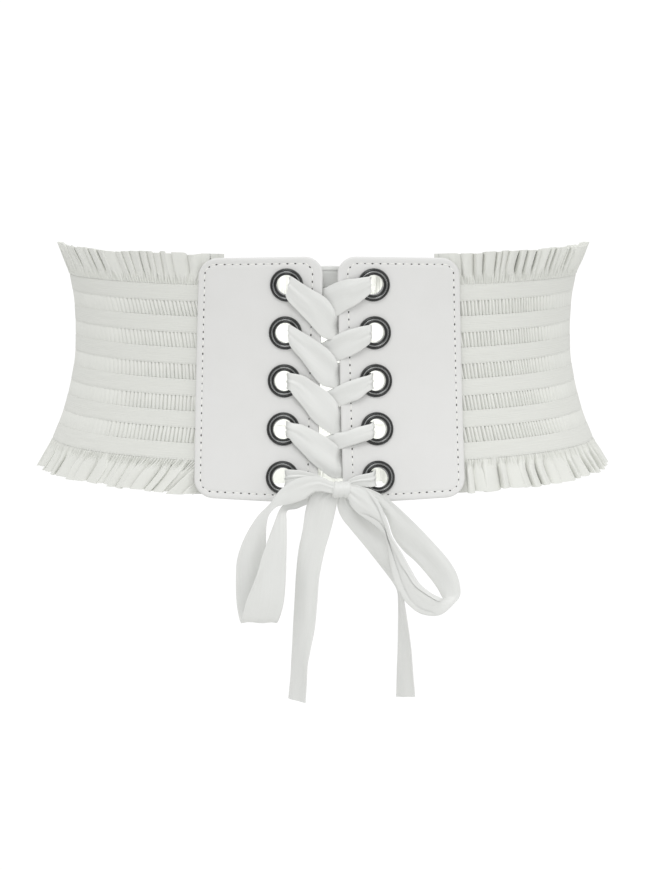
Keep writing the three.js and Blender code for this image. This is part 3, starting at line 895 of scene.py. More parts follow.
@dataclass
class SeamStitches:
    """Short stitches along both edges of every elastic strip."""

    body: BodyForm
    way: BandWay
    plan: StripPlan
    layers: Layers
    pitch: float = 2.0
    length: float = 0.9
    thick: float = 0.24
    inset: float = 0.6
    proud: float = 0.1
    wander: float = 0.12
    last: float = 0.5
    seed: int = 29

    def build(self, finish: bpy.types.Material) -> bpy.types.Object:
        """Sew every line of stitches, as one piece.

        Args:
            finish: Its material.

        Returns:
            The piece.
        """
        draw = random.Random(self.seed)
        bm = bmesh.new()
        count = int(self.way.length / self.pitch)
        for index in range(self.plan.count):
            for edge, turn in zip(self.plan.strip(index), (1, -1)):
                down = edge + turn * self.inset / self.body.band_height
                line = bmesh.new()
                for stitch in range(1, count):
                    along = (stitch + 0.5) * self.pitch + draw.uniform(-self.wander, self.wander)
                    angle = self.way.angle(min(along, self.way.length - self.last))
                    spot = self.body.point(angle, down, self.layers.elastic + self.proud)
                    away = self.body.outward(angle)
                    along_way = Vector((0, 0, 1)).cross(away)
                    frame_of = Matrix((along_way, Vector((0, 0, 1)), away)).transposed().to_4x4()
                    size = Matrix.Diagonal((self.length / 2, self.thick / 2, self.thick / 2, 1))
                    matrix = Matrix.Translation(spot) @ frame_of @ size
                    bmesh.ops.create_icosphere(line, subdivisions=1, radius=1, matrix=matrix)
                mesh = bpy.data.meshes.new("stitch_line")
                line.to_mesh(mesh)
                line.free()
                bm.from_mesh(mesh)
                bpy.data.meshes.remove(mesh)
        return settle("seam_stitches", bm, finish, Slot.ELASTIC, sharp=80)


# One knife pleat of a ruffle from valley to valley: share of its width, and how far it stands out
KNIFE_PLEAT: list[tuple[float, float]] = [
    (0.0, -1.0), (0.05, -0.5), (0.21, 0.05), (0.48, 0.4), (0.78, 0.68), (0.98, 0.78),
    (1.03, 0.4), (1.0, -1.0),
]


@dataclass
class Ruffle:
    """Free edge of the cloth, laid in uneven knife pleats that stand away from a seam."""

    body: BodyForm
    name: str
    node: str
    upward: int
    panel_edge: float
    hidden: float
    reach: float
    front_reach: float
    lean: float
    front_lean: float
    depth: dict[Side, float]
    lobes: tuple[float, float]
    slant_left: list[tuple[float, float]]
    slant_right: list[tuple[float, float]]
    seed: int
    wall: float = 0.4
    rows: int = 14
    samples: int = 14
    rim_wander: float = 0.75
    overlap: float = 0.22
    # Share of the pleats whose lip is at their right-hand edge, on the left and on the right side
    lips_right: tuple[float, float] = (0.74, 0.36)
    fullness: float = 2.0
    pucker_width: float = 1.5
    pucker: float = 0.6
    pucker_drift: float = 0.4
    root: float = 1.9
    least_out: float = 0.25
    hem: float = 0.06
    lobe_power: float = 1.4
    row_power: float = 1.15
    lean_power: float = 1.2
    size_spread: tuple[float, float] = (0.7, 1.2)
    lap_spread: tuple[float, float] = (0.2, 1.0)
    most_bend: float = 0.12
    # Width from which a pleat has its full depth, and how much deeper a wide one may be
    whole_width: float = 4.6
    most_size: float = 1.15
    sink: float = 0.45

    def build(self, finish: bpy.types.Material) -> bpy.types.Object:
        """Lay the ruffle pleat by pleat round the body.

        Args:
            finish: Its material.

        Returns:
            The piece.
        """
        draw = random.Random(self.seed)
        down = 0.0 if self.upward > 0 else 1.0
        half = self.body.half_width * (1 + self.body.widen(down))
        way = BandWay(self.body, math.asin((self.panel_edge - self.hidden) / half), down)
        edges = [0.0]
        while edges[-1] < way.length:
            small, large = self.lobes
            edges.append(edges[-1] + small + (large - small) * draw.random() ** self.lobe_power)
        edges = [edge * way.length / edges[-1] for edge in edges]
        count = len(edges) - 1
        left_lips, right_lips = self.lips_right
        shares = [right_lips if lobe < count / 2 else left_lips for lobe in range(count)]
        turns = [1 if draw.random() < share else -1 for share in shares]
        sizes = [draw.uniform(*self.size_spread) for _ in range(count)]
        laps = [draw.uniform(*self.lap_spread) * self.overlap for _ in range(count + 1)]
        rims = [draw.uniform(-1.0, 1.0) * self.rim_wander for _ in range(count + 1)]
        phases = [draw.uniform(0, 2 * math.pi) for _ in range(count + 1)]
        bends = [draw.uniform(-self.most_bend, self.most_bend) for _ in range(count + 1)]

        def valley(lobe: int) -> float:
            """Shift of the valley at the start of a pleat, as a share of a pleat."""
            before, after = turns[(lobe - 1) % count], turns[lobe % count]
            return 0.0 if before != after else -after * laps[lobe]

        def place(column: int, row: int) -> tuple[Vector, tuple[float, float]]:
            """Point of a grid corner and its place on the flat piece.

            Args:
                column: Its column.
                row: Its row.

            Returns:
                The point, and the place across and along the flat piece.
            """
            lobe, step = divmod(column, self.samples)
            if lobe == count:
                lobe, step = count - 1, self.samples
            share = step / self.samples
            up = (row / self.rows) ** self.row_power
            width = edges[lobe + 1] - edges[lobe]
            walk = share if turns[lobe] > 0 else 1 - share
            across, proud = through(KNIFE_PLEAT, walk * (len(KNIFE_PLEAT) - 1))
            across = across if turns[lobe] > 0 else 1 - across
            ends = mix(valley(lobe), valley(lobe + 1), smooth_step(share, 0.15, 0.85))
            deep_end = smooth_step(-proud, -0.3, 1.0)
            root = edges[lobe] + width * share
            turn = way.angle(min(root, way.length))
            side = Side.LEFT if math.sin(turn) < 0 else Side.RIGHT
            away_turn = abs(math.degrees(math.atan2(math.sin(turn), math.cos(turn))))
            slant = looked_up(self.slant_left if side is Side.LEFT else self.slant_right, away_turn)
            forward = self.body.away_from_side(turn)
            reach = mix(self.reach, self.front_reach, forward)
            # The way runs round the back from the right-hand side, so the way out changes its sign there
            fan = side.value * math.tan(math.radians(slant)) * reach * up
            grown = smooth_step(up, 0.0, 0.55)
            shape = across - share + ends * deep_end + bends[lobe] * math.sin(math.pi * up) * turns[lobe]
            angle = way.angle(min(max(root + fan + width * grown * shape, 0), way.length))
            beyond = abs(half * math.sin(angle)) - self.panel_edge
            freed = 1.0 if math.cos(angle) < 0 else smooth_step(beyond, -1.5, 2.5)
            lean = mix(self.lean, self.front_lean, forward)
            size = self.depth[side] * sizes[lobe] * min(width / self.whole_width, self.most_size)
            rooted = smooth_step(up, 0.0, 0.05) * (1 - smooth_step(up, 0.1, 0.5))
            wave = 2 * math.pi * root / self.pucker_width + phases[lobe] * self.pucker_drift
            pucker = self.pucker * rooted * math.sin(wave)
            stand = lean * up**self.lean_power + size * 0.5 * (proud - 0.15) * grown + pucker
            point = self.body.point(angle, down, max(self.root + freed * stand, self.least_out))
            rise = mix(rims[lobe], rims[lobe + 1], smooth_step(share, 0.8, 1.0)) - self.sink * deep_end
            point.z += self.upward * (self.hem + up * (reach - self.hem + freed * rise))
            return point, (root * self.fullness, up * reach)

        bm = draped(count * self.samples, self.rows, place)
        thicken(bm, self.wall)
        piece = settle(self.name, bm, finish, Slot.CLOTH, [self.node])
        return piece


@dataclass
class FrontPanel:
    """Leather front with rounded corners, a rolled rim, a stitched row and five punched eyelet holes."""

    body: BodyForm
    cut: PanelCut
    layers: Layers
    side: Side
    corner: float = 9.0
    rim: float = 0.9
    wall: float = 2.0
    hole: float = 5.7
    punch: float = 5.5
    stitch_pitch: float = 3.65
    # Distance of the stitched row from the inner edge, the outer edge, and the top and bottom
    insets: tuple[float, float, float] = (4.8, 3.1, 3.3)
    stitch_corner: float = 5.2
    corner_steps: int = 8
    groove: float = 0.2
    groove_width: float = 0.7
    cells: tuple[int, int] = (28, 70)
    wander: float = 0.12
    uneven: tuple[float, float] = (0.75, 1.1)
    seed: int = 17

    def lines(self, size: float, cells: int) -> list[float]:
        """Grid lines across a side, close together at the rim and the stitched row.

        Args:
            size: Length of the side.
            cells: Number of cells between the corners.

        Returns:
            Distances from the start of the side.
        """
        near = [0.0, 0.12, 0.4, 0.9, 1.6, 2.3, 2.8, 3.3, 3.8, 4.3, 4.8, 5.3, 5.9, 6.8, 7.8, self.corner]
        middle = [mix(self.corner, size - self.corner, i / cells) for i in range(1, cells)]
        return near + middle + [size - place for place in reversed(near)]

    def rounded(self, across: float, down: float) -> tuple[float, float, float]:
        """Bend a square corner of the grid round.

        Args:
            across: Distance from the inner edge.
            down: Distance from the top edge.

        Returns:
            The new distances, and the distance to the nearest edge.
        """
        width, height, corner = self.cut.width, self.cut.height, self.corner
        left, top = corner - across, corner - down
        right, bottom = across - (width - corner), down - (height - corner)
        sideways, upright = max(left, right), max(top, bottom)
        rim = min(across, down, width - across, height - down)
        if sideways > 0 and upright > 0:
            far = max(sideways, upright)
            shrink = far / math.hypot(sideways, upright)
            across += (1 if left > 0 else -1) * sideways * (1 - shrink)
            down += (1 if top > 0 else -1) * upright * (1 - shrink)
            rim = corner - far
        return across, down, rim

    def off_stitches(self, across: float, down: float) -> float:
        """Distance of a place on the panel from the stitched row.

        Args:
            across: Distance from the inner edge.
            down: Distance from the top edge.

        Returns:
            The distance, below 0 inside the row.
        """
        inner, outer, ends = self.insets
        wide, tall = (self.cut.width - inner - outer) / 2, self.cut.height / 2 - ends
        sideways = abs(across - inner - wide) - wide + self.stitch_corner
        upright = abs(down - self.cut.height / 2) - tall + self.stitch_corner
        beyond = math.hypot(max(sideways, 0), max(upright, 0)) + min(max(sideways, upright), 0)
        return beyond - self.stitch_corner

    def build(self, leather: bpy.types.Material) -> bpy.types.Object:
        """Cut, punch and lay the leather.

        Args:
            leather: Its material.

        Returns:
            The piece.
        """
        wide, tall = self.cells
        xs, ys = self.lines(self.cut.width, wide), self.lines(self.cut.height, tall)
        holes = [self.cut.eyelet(self.side, row) for row in range(self.cut.eyelet_count)]

        def place(column: int, row: int) -> tuple[Vector, tuple[float, float]]:
            """Point of a grid corner and its place on the flat piece.

            Args:
                column: Its column.
                row: Its row.

            Returns:
                The point, and the place across and along the flat piece.
            """
            across, down, rim = self.rounded(xs[column], ys[row])
            roll = max(self.rim - rim, 0) / self.rim
            out = self.layers.panel_face - self.rim * (1 - math.sqrt(max(1 - roll**2, 0)))
            out -= self.groove * math.exp(-((self.off_stitches(across, down) / self.groove_width) ** 2))
            x, z = self.cut.spot(self.side, across, down)
            return Vector((x, out, z)), (across, down)

        bm = draped(len(xs) - 1, len(ys) - 1, place)
        for x, z in holes:
            middles = [(face, face.calc_center_median()) for face in bm.faces]
            inside = [face for face, spot in middles if math.hypot(spot.x - x, spot.z - z) < self.punch]
            bmesh.ops.delete(bm, geom=inside, context="FACES")
            for vert in bm.verts:
                away = math.hypot(vert.co.x - x, vert.co.z - z)
                if vert.is_boundary and away < 2 * self.punch:
                    vert.co.x = x + (vert.co.x - x) * self.hole / away
                    vert.co.z = z + (vert.co.z - z) * self.hole / away
        for vert in bm.verts:
            vert.co = self.body.on_front(vert.co.x, vert.co.z, vert.co.y)
        if self.side is Side.RIGHT:
            bmesh.ops.reverse_faces(bm, faces=bm.faces[:])
        bm.normal_update()
        bmesh.ops.solidify(bm, geom=bm.faces[:], thickness=self.wall)
        word = self.side.word
        return settle(f"{word}_front_leather", bm, leather, Slot.LEATHER, [f"{word}_panel"], 40)

    def stitch_places(self) -> list[tuple[Vector, Vector, Vector]]:
        """Places of the stitches round the panel, each with its way along and its way outwards.

        Returns:
            The place, the way along and the way outwards of every stitch.
        """
        inner, outer, ends = self.insets
        radius = self.stitch_corner
        right, bottom = self.cut.width - outer, self.cut.height - ends
        box = [(inner, ends), (right, ends), (right, bottom), (inner, bottom)]
        outline: list[tuple[float, float]] = []
        for number, (across, down) in enumerate(box):
            centre = (across + (radius if number in (0, 3) else -radius),
                      down + (radius if number in (0, 1) else -radius))
            for step in range(self.corner_steps + 1):
                turn = math.pi + (number + step / self.corner_steps) * math.pi / 2
                outline.append((centre[0] + radius * math.cos(turn), centre[1] + radius * math.sin(turn)))
        outline.append(outline[0])
        lengths = [0.0]
        for one, two in zip(outline, outline[1:]):
            lengths.append(lengths[-1] + math.dist(one, two))
        count = round(lengths[-1] / self.stitch_pitch)
        # Two places for each stitch: its own, and one a little further on that gives its way along
        spots = []
        for number in range(count):
            for shift in (0.0, 0.3):
                want = lengths[-1] * ((number + shift) % count) / count
                at = max(i for i in range(len(lengths) - 1) if lengths[i] <= want)
                share = (want - lengths[at]) / (lengths[at + 1] - lengths[at])
                spots.append(self.cut.spot(self.side, mix(outline[at][0], outline[at + 1][0], share),
                                           mix(outline[at][1], outline[at + 1][1], share)))
        places = []
        face = self.layers.panel_face - self.groove
        for (x, z), (next_x, next_z) in zip(spots[0::2], spots[1::2]):
            here = self.body.on_front(x, z, face)
            along = (self.body.on_front(next_x, next_z, face) - here).normalized()
            places.append((here, along, self.body.square_to_front(x, z, 3)))
        return places

    def sew(self, thread: bpy.types.Material, pits: bpy.types.Material) -> list[bpy.types.Object]:
        """Sew the row of stitches: pale thread between needle pits whose shade is painted as dark ellipsoids.

        Args:
            thread: Material of the stitches.
            pits: Dark material that paints the shade in the needle pits.

        Returns:
            The two pieces.
        """
        # Material, shift as a share of the pitch, half sizes along, across and outwards, and lift
        rows = {
            "stitch_thread": (thread, 0.5, (1.15, 0.3, 0.16), 0.02),
            # Needle pits: dark ellipsoids that paint the shade in the holes
            "needle_pits_painted_shade": (pits, 0.0, (0.52, 0.34, 0.12), 0.03),
        }
        draw = random.Random(self.seed + self.side.value)
        pieces = []
        for name, (finish, shift, (long, wide, tall), lift) in rows.items():
            bm = bmesh.new()
            for here, along, away in self.stitch_places():
                frame_of = Matrix((along, away.cross(along), away)).transposed().to_4x4()
                ahead = shift * self.stitch_pitch + draw.uniform(-self.wander, self.wander)
                spot = here + along * ahead + away * lift
                uneven = draw.uniform(*self.uneven)
                size = Matrix.Diagonal((long * uneven, wide * uneven, tall, 1))
                matrix = Matrix.Translation(spot) @ frame_of @ size
                bmesh.ops.create_icosphere(bm, subdivisions=2, radius=1, matrix=matrix)
            pieces.append(settle(f"{self.side.word}_{name}", bm, finish, Slot.LEATHER, sharp=80))
        return pieces


@dataclass
class EyeletRow:
    """Row of rolled eyelets down a panel, each with a ridged dome, a barrel and a back flange."""

    body: BodyForm
    cut: PanelCut
    layers: Layers
    side: Side
    steps: int = 56
    profile: tuple[tuple[float, float], ...] = (
        (4.8, 2.3), (4.8, 2.72), (4.88, 3.02), (5.06, 3.3), (5.3, 3.46), (5.58, 3.46),
        (5.76, 3.34), (5.86, 3.2), (5.95, 3.36), (6.12, 3.56), (6.35, 3.66), (6.52, 3.64),
        (6.62, 3.54), (6.7, 3.36), (6.78, 3.2), (6.9, 3.32), (7.15, 3.38), (7.45, 3.22),
        (7.7, 2.96), (7.88, 2.72), (7.97, 2.54), (8.0, 2.42), (7.9, 2.28), (5.6, 2.28),
        (5.5, 2.2), (5.5, -0.4), (5.6, -0.5), (7.1, -0.5), (7.3, -0.62), (7.3, -1.1),
        (7.15, -1.28), (5.1, -1.3), (4.85, -1.2), (4.8, -1.0),
    )
    # Height above which the painted highlight is laid, and its strength below that
    dome_foot: float = 2.3
    highlight_off_dome: float = 0.2
    # Strength of the painted highlight and reflection, by distance from the middle of the hole
    polish: tuple[tuple[float, float], ...] = (
        (4.8, 0.3), (4.88, 0.12), (5.3, 0.05), (5.76, 0.08), (5.95, 0.26), (6.12, 0.3),
        (6.35, 0.26), (6.52, 0.4), (6.62, 1.0), (6.7, 0.7), (6.78, 0.1), (7.15, 0.05),
        (7.7, 0.08), (7.97, 0.3), (8.0, 0.35),
    )

    def build(self, finish: bpy.types.Material) -> list[bpy.types.Object]:
        """Turn and set every eyelet of the row.

        Args:
            finish: Its material.

        Returns:
            The pieces, from the top.
        """
        pieces = []
        for row in range(self.cut.eyelet_count):
            bm = bmesh.new()
            verts = [bm.verts.new((radius, 0, height)) for radius, height in self.profile]
            edges = [bm.edges.new(pair) for pair in zip(verts, verts[1:] + verts[:1])]
            bmesh.ops.spin(bm, geom=verts + edges, cent=(0, 0, 0), axis=(0, 0, 1), angle=2 * math.pi,
                           steps=self.steps, use_merge=True, use_duplicate=False)
            bmesh.ops.recalc_face_normals(bm, faces=bm.faces[:])
            # Painted highlight and reflection, laid on as rings by distance from the middle of the hole
            layer = bm.verts.layers.float.new("polish")
            for vert in bm.verts:
                away = math.hypot(vert.co.x, vert.co.y)
                vert[layer] = looked_up(self.polish, away) if vert.co.z > self.dome_foot else self.highlight_off_dome
            x, z = self.cut.eyelet(self.side, row)
            square = self.body.square_to_front(x, z)
            turn = Vector((0, 0, 1)).rotation_difference(square).to_matrix().to_4x4()
            bm.transform(Matrix.Translation(self.body.on_front(x, z, self.layers.panel_back)) @ turn)
            name = f"{self.side.word}_eyelet_{row + 1}"
            pieces.append(settle(f"{name}_metal", bm, finish, Slot.GUNMETAL, [name], 60))
        return pieces


@dataclass(frozen=True)
class Station:
    """Place on a ribbon's way, with its two edges.

    It also says how far the middle stands proud, how deep the ribbon is pleated, and how much of the
    spare width is tucked under.
    """

    upper: Vector
    lower: Vector
    cup: float = 0.0
    pleats: float = 0.0
    tuck: float = 1.0


@dataclass
class Ribbon:
    """Satin ribbon laid through stations.

    Its spare width is pleated at holes and knots, and tucked under elsewhere.
    """

    name: str
    stations: list[Station]
    nodes: list[str]
    full_width: float = 16.0
    wall: float = 0.3
    folds: float = 2.4
    turn: float = 0.3
    outside: int = 1
    swell: tuple[float, float] = (0.32, 0.2)
    step: float = 0.9
    across: int = 22
    phase: float = 0.7
    # Depths of the pleats between which they take up the spare width
    taken_up: tuple[float, float] = (0.04, 0.3)
    # Shares of the spare width that are tucked under the lower and the upper edge
    tuck_shares: tuple[float, float] = (0.55, 0.45)
    most_flap: float = 0.42
    least_flap: float = 0.25
    # Waves across the pleats: height, number against the folds, and start
    fold_waves: tuple[tuple[float, float, float], ...] = ((0.75, 1.0, 1.0), (0.4, 1.7, 2.1))
    # Waves of the swell: rate across, length along, and start
    swell_waves: tuple[tuple[float, float, float], ...] = ((5.0, 11.0, 1.0), (8.8, -17.0, 1.7))
    # Width from which the swell has its full height
    roomy: float = 13.0

    def sections(self) -> list[list[float]]:
        """Edges, cup, pleats and tuck of every row of the ribbon, on a smooth line.

        Returns:
            The rows: the two edges' places, the cup, the pleats and the tuck.
        """
        rows = [(*s.upper, *s.lower, s.cup, s.pleats, s.tuck) for s in self.stations]
        places: list[float] = []
        for index, (one, two) in enumerate(zip(self.stations, self.stations[1:])):
            gap = max((two.upper - one.upper).length, (two.lower - one.lower).length)
            steps = max(2, round(gap / self.step))
            places += [index + i / steps for i in range(steps)]
        places.append(len(rows) - 1)
        return [through(rows, place) for place in places]

    def profile(self, width: float, pleats: float, tuck: float) -> list[tuple[float, float, float]]:
        """Cross-section from the lower to the upper free edge.

        Args:
            width: Width between the two outer folds.
            pleats: Depth of the pleats there, which use the spare width up.
            tuck: Share of the spare width that is tucked under.

        Returns:
            Place across from the lower fold, depth behind the front, and length of cloth so far.
        """
        spare = max(self.full_width - width, 0) * (1 - smooth_step(pleats, *self.taken_up))
        tucked, turns = [], []
        for part in self.tuck_shares:
            flap = max(tuck * min(spare * part, self.most_flap * width), self.least_flap)
            radius = 0.02 + self.turn * smooth_step(flap, 0.2, 1.6)
            half_turn = [i * math.pi / 4 for i in range(4)]
            tucked.append([(radius + flap * (1 - i / 3), -2 * radius) for i in range(3)]
                          + [(radius * (1 - math.sin(a)), -radius * (1 + math.cos(a))) for a in half_turn])
            turns.append(radius)
        front = [(mix(turns[0], width - turns[1], i / self.across), 0.0) for i in range(self.across + 1)]
        line = tucked[0] + front + [(width - x, depth) for x, depth in reversed(tucked[1])]
        points, used = [(*line[0], 0.0)], 0.0
        for one, two in zip(line, line[1:]):
            used += math.dist(one, two)
            points.append((*two, used))
        return points

    def build(self, finish: bpy.types.Material) -> bpy.types.Object:
        """Lay the ribbon and make it a piece.

        Args:
            finish: Its material.

        Returns:
            The piece.
        """
        rows = self.sections()
        uppers = [Vector(row[0:3]) for row in rows]
        lowers = [Vector(row[3:6]) for row in rows]
        middles = [(one + two) / 2 for one, two in zip(uppers, lowers)]
        lengths = [0.0]
        for one, two in zip(middles, middles[1:]):
            lengths.append(lengths[-1] + (two - one).length)
        facings = []
        for index, (upper, lower) in enumerate(zip(uppers, lowers)):
            along = middles[min(index + 1, len(rows) - 1)] - middles[max(index - 1, 0)]
            facings.append((upper - lower).cross(along).normalized())
        profiles = [self.profile((one - two).length, max(row[7], 0), abs(row[8]))
                    for one, two, row in zip(uppers, lowers, rows)]

        def place(column: int, row: int) -> tuple[Vector, tuple[float, float]]:
            """Point of a grid corner and its place on the flat piece.

            Args:
                column: Its column.
                row: Its row.

            Returns:
                The point, and the place across and along the flat piece.
            """
            across, depth, used = profiles[row][column]
            width = (uppers[row] - lowers[row]).length
            share = across / width
            cup, pleats = rows[row][6], max(rows[row][7], 0)
            folds = swell = 0.0
            for height, number, start in self.fold_waves:
                folds += height * math.sin(2 * math.pi * number * self.folds * share + start * self.phase)
            for height, (rate, length, start) in zip(self.swell, self.swell_waves):
                swell += height * math.sin(rate * share + lengths[row] / length + start * self.phase)
            free = 0.25 + 0.75 * smooth_step(min(share, 1 - share), 0, 0.2)
            room = min(width / self.roomy, 1.0) ** 2
            swell *= free * room * (1 - smooth_step(pleats, 0, 0.4))
            out = cup * (1 - (2 * share - 1) ** 2) + pleats * folds * room**0.5 + swell
            out += depth * math.copysign(self.outside, rows[row][8])
            return lowers[row].lerp(uppers[row], share) + facings[row] * out, (used, lengths[row])

        bm = draped(len(profiles[0]) - 1, len(rows) - 1, place)
        thicken(bm, self.wall)
        piece = settle(self.name, bm, finish, Slot.SATIN, self.nodes)
        return piece


Strand = tuple[tuple[Edge, Edge], ...]

# Upper and lower edge of each visible strand from its eyelet to the gap: across, up, and out
OVER_STRANDS: dict[int, Strand] = {
    0: (
        ((-17.4, 29.9, 2.4), (-20.2, 21.4, 2.5)),
        ((-12.4, 26.4, 2.5), (-19.0, 18.4, 2.5)),
        ((-8.4, 23.8, 2.0), (-14.7, 13.4, 2.1)),
        ((-3.7, 21.0, 1.5), (-8.8, 7.0, 1.6)),
        ((-0.7, 18.2, 1.3), (-4.6, 2.2, 1.2)),
        ((2.0, 13.8, 0.9), (-1.1, 0.2, 0.4)),
    ),
    1: (
        ((-18.6, 7.2, 2.4), (-18.8, -1.6, 2.5)),
        ((-13.0, 3.6, 2.5), (-17.4, -4.4, 2.5)),
        ((-8.6, 0.9, 2.0), (-13.6, -9.0, 2.1)),
        ((-4.1, -2.3, 1.5), (-9.2, -15.4, 1.6)),
        ((-0.4, -5.5, 1.3), (-4.4, -21.2, 1.2)),
        ((2.8, -9.8, 0.8), (0.0, -22.9, 0.4)),
    ),
    2: (
        ((-17.7, -16.2, 2.4), (-18.2, -24.4, 2.5)),
        ((-12.6, -17.3, 2.5), (-16.6, -26.9, 2.5)),
        ((-8.4, -19.9, 2.0), (-12.7, -31.8, 2.1)),
        ((-3.7, -23.3, 1.5), (-8.7, -37.5, 1.6)),
        ((0.6, -27.0, 1.3), (-4.2, -41.8, 1.2)),
        ((3.4, -30.8, 0.7), (0.5, -44.9, 0.3)),
    ),
    3: (
        ((-17.4, -39.9, 2.4), (-18.6, -47.2, 2.5)),
        ((-12.9, -40.7, 2.5), (-16.7, -49.7, 2.5)),
        ((-8.6, -42.8, 2.0), (-13.0, -53.8, 2.1)),
        ((-4.4, -45.2, 1.5), (-9.5, -57.7, 1.6)),
        ((-0.8, -47.6, 1.3), (-5.4, -61.4, 1.2)),
        ((3.0, -50.6, 0.8), (0.3, -65.6, 0.4)),
    ),
}
UNDER_STRANDS: dict[int, Strand] = {
    0: (
        ((17.2, 29.9, 2.5), (18.4, 22.1, 2.5)),
        ((11.4, 29.0, 2.1), (12.4, 17.0, 2.2)),
        ((7.4, 28.6, 1.2), (7.4, 14.2, 1.3)),
        ((2.3, 26.8, -0.5), (3.1, 11.3, -0.3)),
    ),
    1: (
        ((17.8, 6.8, 2.5), (17.8, -2.2, 2.5)),
        ((12.4, 5.7, 2.1), (13.0, -5.9, 2.2)),
        ((6.5, 3.8, 1.0), (7.9, -8.5, 1.2)),
        ((0.7, 0.8, -0.8), (3.4, -10.3, -0.4)),
    ),
    2: (
        ((17.9, -17.1, 2.5), (17.2, -24.9, 2.5)),
        ((12.6, -18.6, 2.1), (13.4, -28.2, 2.2)),
        ((7.0, -20.7, 0.9), (9.4, -29.9, 1.3)),
        ((1.0, -23.8, -0.8), (3.7, -32.1, -0.5)),
    ),
    3: (
        ((18.6, -40.3, 2.5), (18.2, -47.7, 2.5)),
        ((12.2, -42.0, 2.1), (12.4, -49.5, 2.2)),
        ((7.2, -44.0, 1.0), (7.9, -51.0, 1.2)),
        ((1.1, -45.2, -0.8), (3.0, -52.7, -0.6)),
    ),
}
# The last strand of either side, from its eyelet down to the knot
LAST_STRANDS: dict[Side, Strand] = {
    Side.LEFT: (
        ((-18.0, -62.0, 2.5), (-17.6, -68.5, 2.5)),
        ((-12.2, -62.6, 2.4), (-11.6, -67.6, 2.4)),
        ((-5.8, -64.6, 1.9), (-4.9, -68.6, 1.9)),
        ((4.0, -69.6, 1.6), (4.0, -72.6, 1.6)),
    ),
    Side.RIGHT: (
        ((18.9, -63.4, 2.5), (18.1, -70.2, 2.5)),
        ((13.6, -64.6, 2.4), (12.8, -69.8, 2.4)),
        ((9.0, -66.4, 1.9), (9.0, -70.2, 1.9)),
        ((6.4, -69.6, 1.4), (6.4, -72.6, 1.4)),
    ),
}


